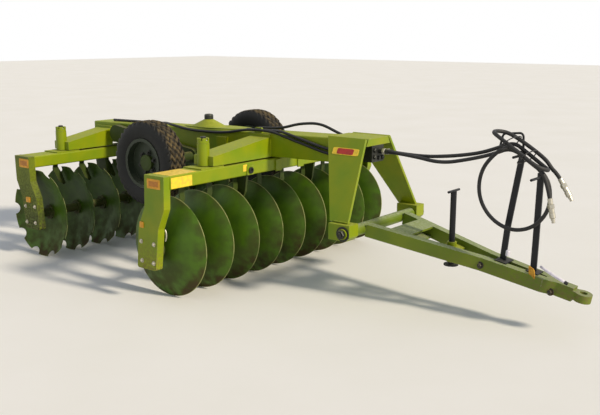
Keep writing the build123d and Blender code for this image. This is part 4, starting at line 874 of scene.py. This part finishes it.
# Ties round the hank: black cable ties, a band round a rounded rectangle that sways a little along the hank,
# and its lock
ties = {"along": (62, 176), "middle": (-98, -6), "half": (92, 42), "square": 0.7, "sway": 4, "band": 3.2,
        "points": 72, "lock": [(7, -5), (8, -4), (8, 4), (7, 5)]}
angle, outline = squaredCircle(ties["points"], ties["square"])
outline = ties["middle"] + ties["half"] * outline
for number, along in enumerate(ties["along"]):
    path = alongHank(np.column_stack([along + ties["sway"] * np.sin(angle), outline]))
    tubeAlong("hankTie" + str(number + 1), path, ties["band"], 8, hoseCover, "drawbar",
              (hoses["hankWay"][0], 0, hoses["hankWay"][1]), closed=True)
    lock = alongHank([(along, ties["middle"][0] - ties["half"][0], ties["middle"][1])])[0]
    turnedPieces("hankTieLock" + str(number + 1), ties["lock"], [(lock, (0, -1, 0))], 8, hoseCover, "drawbar")

# Crescent lip of the end bearing's dust shield, beside the front hanger, in pale zinc plating that paints the
# highlight along its curved edge: an arc, thickest in its middle
shieldLip = {"middle": (783, -968, 410), "wide": 24, "high": 42, "turn": 1.0, "points": 15, "thin": 3,
             "swell": 2}
arc = np.linspace(-shieldLip["turn"], shieldLip["turn"], shieldLip["points"])
path = np.stack([shieldLip["wide"] * np.cos(arc), 0 * arc, shieldLip["high"] * np.sin(arc)], 1)
radius = shieldLip["thin"] + shieldLip["swell"] * np.cos(arc)
# the pale plating paints the highlight on the lip's edge
tubeAlong("dustShieldLip", path + shieldLip["middle"], radius, 10, zincPlate, "front_gang",
          (0, 1, 0))


def seatOn(node, start, way):  # where a straight line from start first meets that CAD node, in drawing mm
    found, place, _, _ = nodes[node].ray_cast(Vector(at(start)), Vector(way))
    return tuple(np.array(place) * 1000 - machineShift) if found else None


# The nose's cross bolt and a bolt of the right drawbar beam, each seated on the face that it meets
drawbarBolts = {"drawbarBolt1": ("hitch_nose", 2712, 222), "drawbarBolt3": ("right_drawbar_beam", 2330, 310)}
boltSeating = {"across": 22, "outside": -700}
for name, (node, x, z) in drawbarBolts.items():
    place = seatOn(node, (x, boltSeating["outside"], z), (0, 1, 0))
    if place:
        hexHeads(name, [(place, (0, -1, 0))], boltSeating["across"], darkSteel, "drawbar")

# Webbing of a strap, the breakaway handle at the front stand's foot and the mark on the rear stand
handle = {
    "grip": [(2655, -50, 352), (2685, -52, 338), (2730, -54, 318), (2768, -55, 302), (2794, -55, 292)],
    "gripRadii": [6, 8.5, 8.5, 8.5, 7],
    "cap": [(8, 0), (9.5, 2), (9.5, 16), (6, 19)],
    "capSpot": ((2790, -55, 293), (0.9, 0, -0.38)),
}
roundedPlate("webbingOverBeam", (2618, -62, 302), (17, 0, -10), (0, -12, 44), 5, orangeWebbing, "drawbar",
             square=0.3)
tubeAlong("pullHandleGrip", handle["grip"], handle["gripRadii"], 20, whitePlastic, "drawbar",
          (0, 0, 1))
turnedPieces("pullHandleCap", handle["cap"], [handle["capSpot"]], 24, hoseCover, "drawbar")
turnedPieces("standMark", [(11, 0), (12, 2), (12, 26), (9, 30)], [((2458, -24, 372), (0.1, 0, 1))], 20,
             whitePlastic, "drawbar")
print("small pieces made")

# Floor and lights
floor = {"half": 40.0, "colour": "#f7f7f7", "patch": "#eeeeea", "patchMm": 900}


def addFloor():
    mesh = bpy.data.meshes.new("floor")
    half = floor["half"]
    corners = [(-half, -half, 0), (half, -half, 0), (half, half, 0), (-half, half, 0)]
    mesh.from_pydata(corners, [], [(0, 1, 2, 3)])
    obj = bpy.data.objects.new("floor", mesh)
    bpy.context.scene.collection.objects.link(obj)
    material, tree, place = newMaterial("palePaintedConcrete")
    patches = addNode(tree, "TexNoise", {"Vector": place, "Scale": 1000 / floor["patchMm"], "Detail": 4.0})
    concrete = {"Factor": patches, "A": colour(floor["colour"]), "B": colour(floor["patch"])}
    surface = addNode(tree, "Mix", concrete, **colourMix)
    shader = addNode(tree, "BsdfPrincipled", {"Base Color": surface, "Roughness": 0.9})
    mesh.materials.append(finishMaterial(material, shader))


lights = {"sky": 0.4, "skyColour": "#eef4ff", "seenSky": 1.0, "seenColour": "#ffffff", "sun": 3.5,
          "sunSize": 0.12, "sunColour": "#fff1d9", "sunWay": (-0.86, -0.06, -0.5)}


def addLights():
    # a sun low on one side and a dim sky, which is white where the camera sees it, also in or through a piece
    world = bpy.data.worlds.new("world")
    bpy.context.scene.world = world
    world.use_nodes = True
    tree = world.node_tree
    tree.nodes.clear()
    cameraRay, glossyRay, clearRay = (addNode(tree, "LightPath", output=name) for name in
                                      ("Is Camera Ray", "Is Glossy Ray", "Is Transmission Ray"))
    mirrored = addNode(tree, "Math", {0: glossyRay, 1: clearRay}, operation="MAXIMUM")
    seen = addNode(tree, "Math", {0: cameraRay, 1: mirrored}, operation="MAXIMUM")
    strength = addNode(tree, "MapRange",
                       {"Value": seen, "To Min": lights["sky"], "To Max": lights["seenSky"]})
    tints = {"Factor": seen, "A": colour(lights["skyColour"]), "B": colour(lights["seenColour"])}
    tint = addNode(tree, "Mix", tints, **colourMix)
    background = addNode(tree, "Background", {"Color": tint, "Strength": strength})
    addNode(tree, "OutputWorld", {"Surface": background})
    data = bpy.data.lights.new("key", "SUN")
    data.energy = lights["sun"]
    data.angle = lights["sunSize"]
    data.color = colour(lights["sunColour"])[:3]
    obj = bpy.data.objects.new("key", data)
    bpy.context.scene.collection.objects.link(obj)
    obj.rotation_mode = "QUATERNION"
    obj.rotation_quaternion = Vector(lights["sunWay"]).to_track_quat("-Z", "Y")


addFloor()
addLights()
bpy.context.scene.view_settings.view_transform = "Standard"
print("floor and lights made")
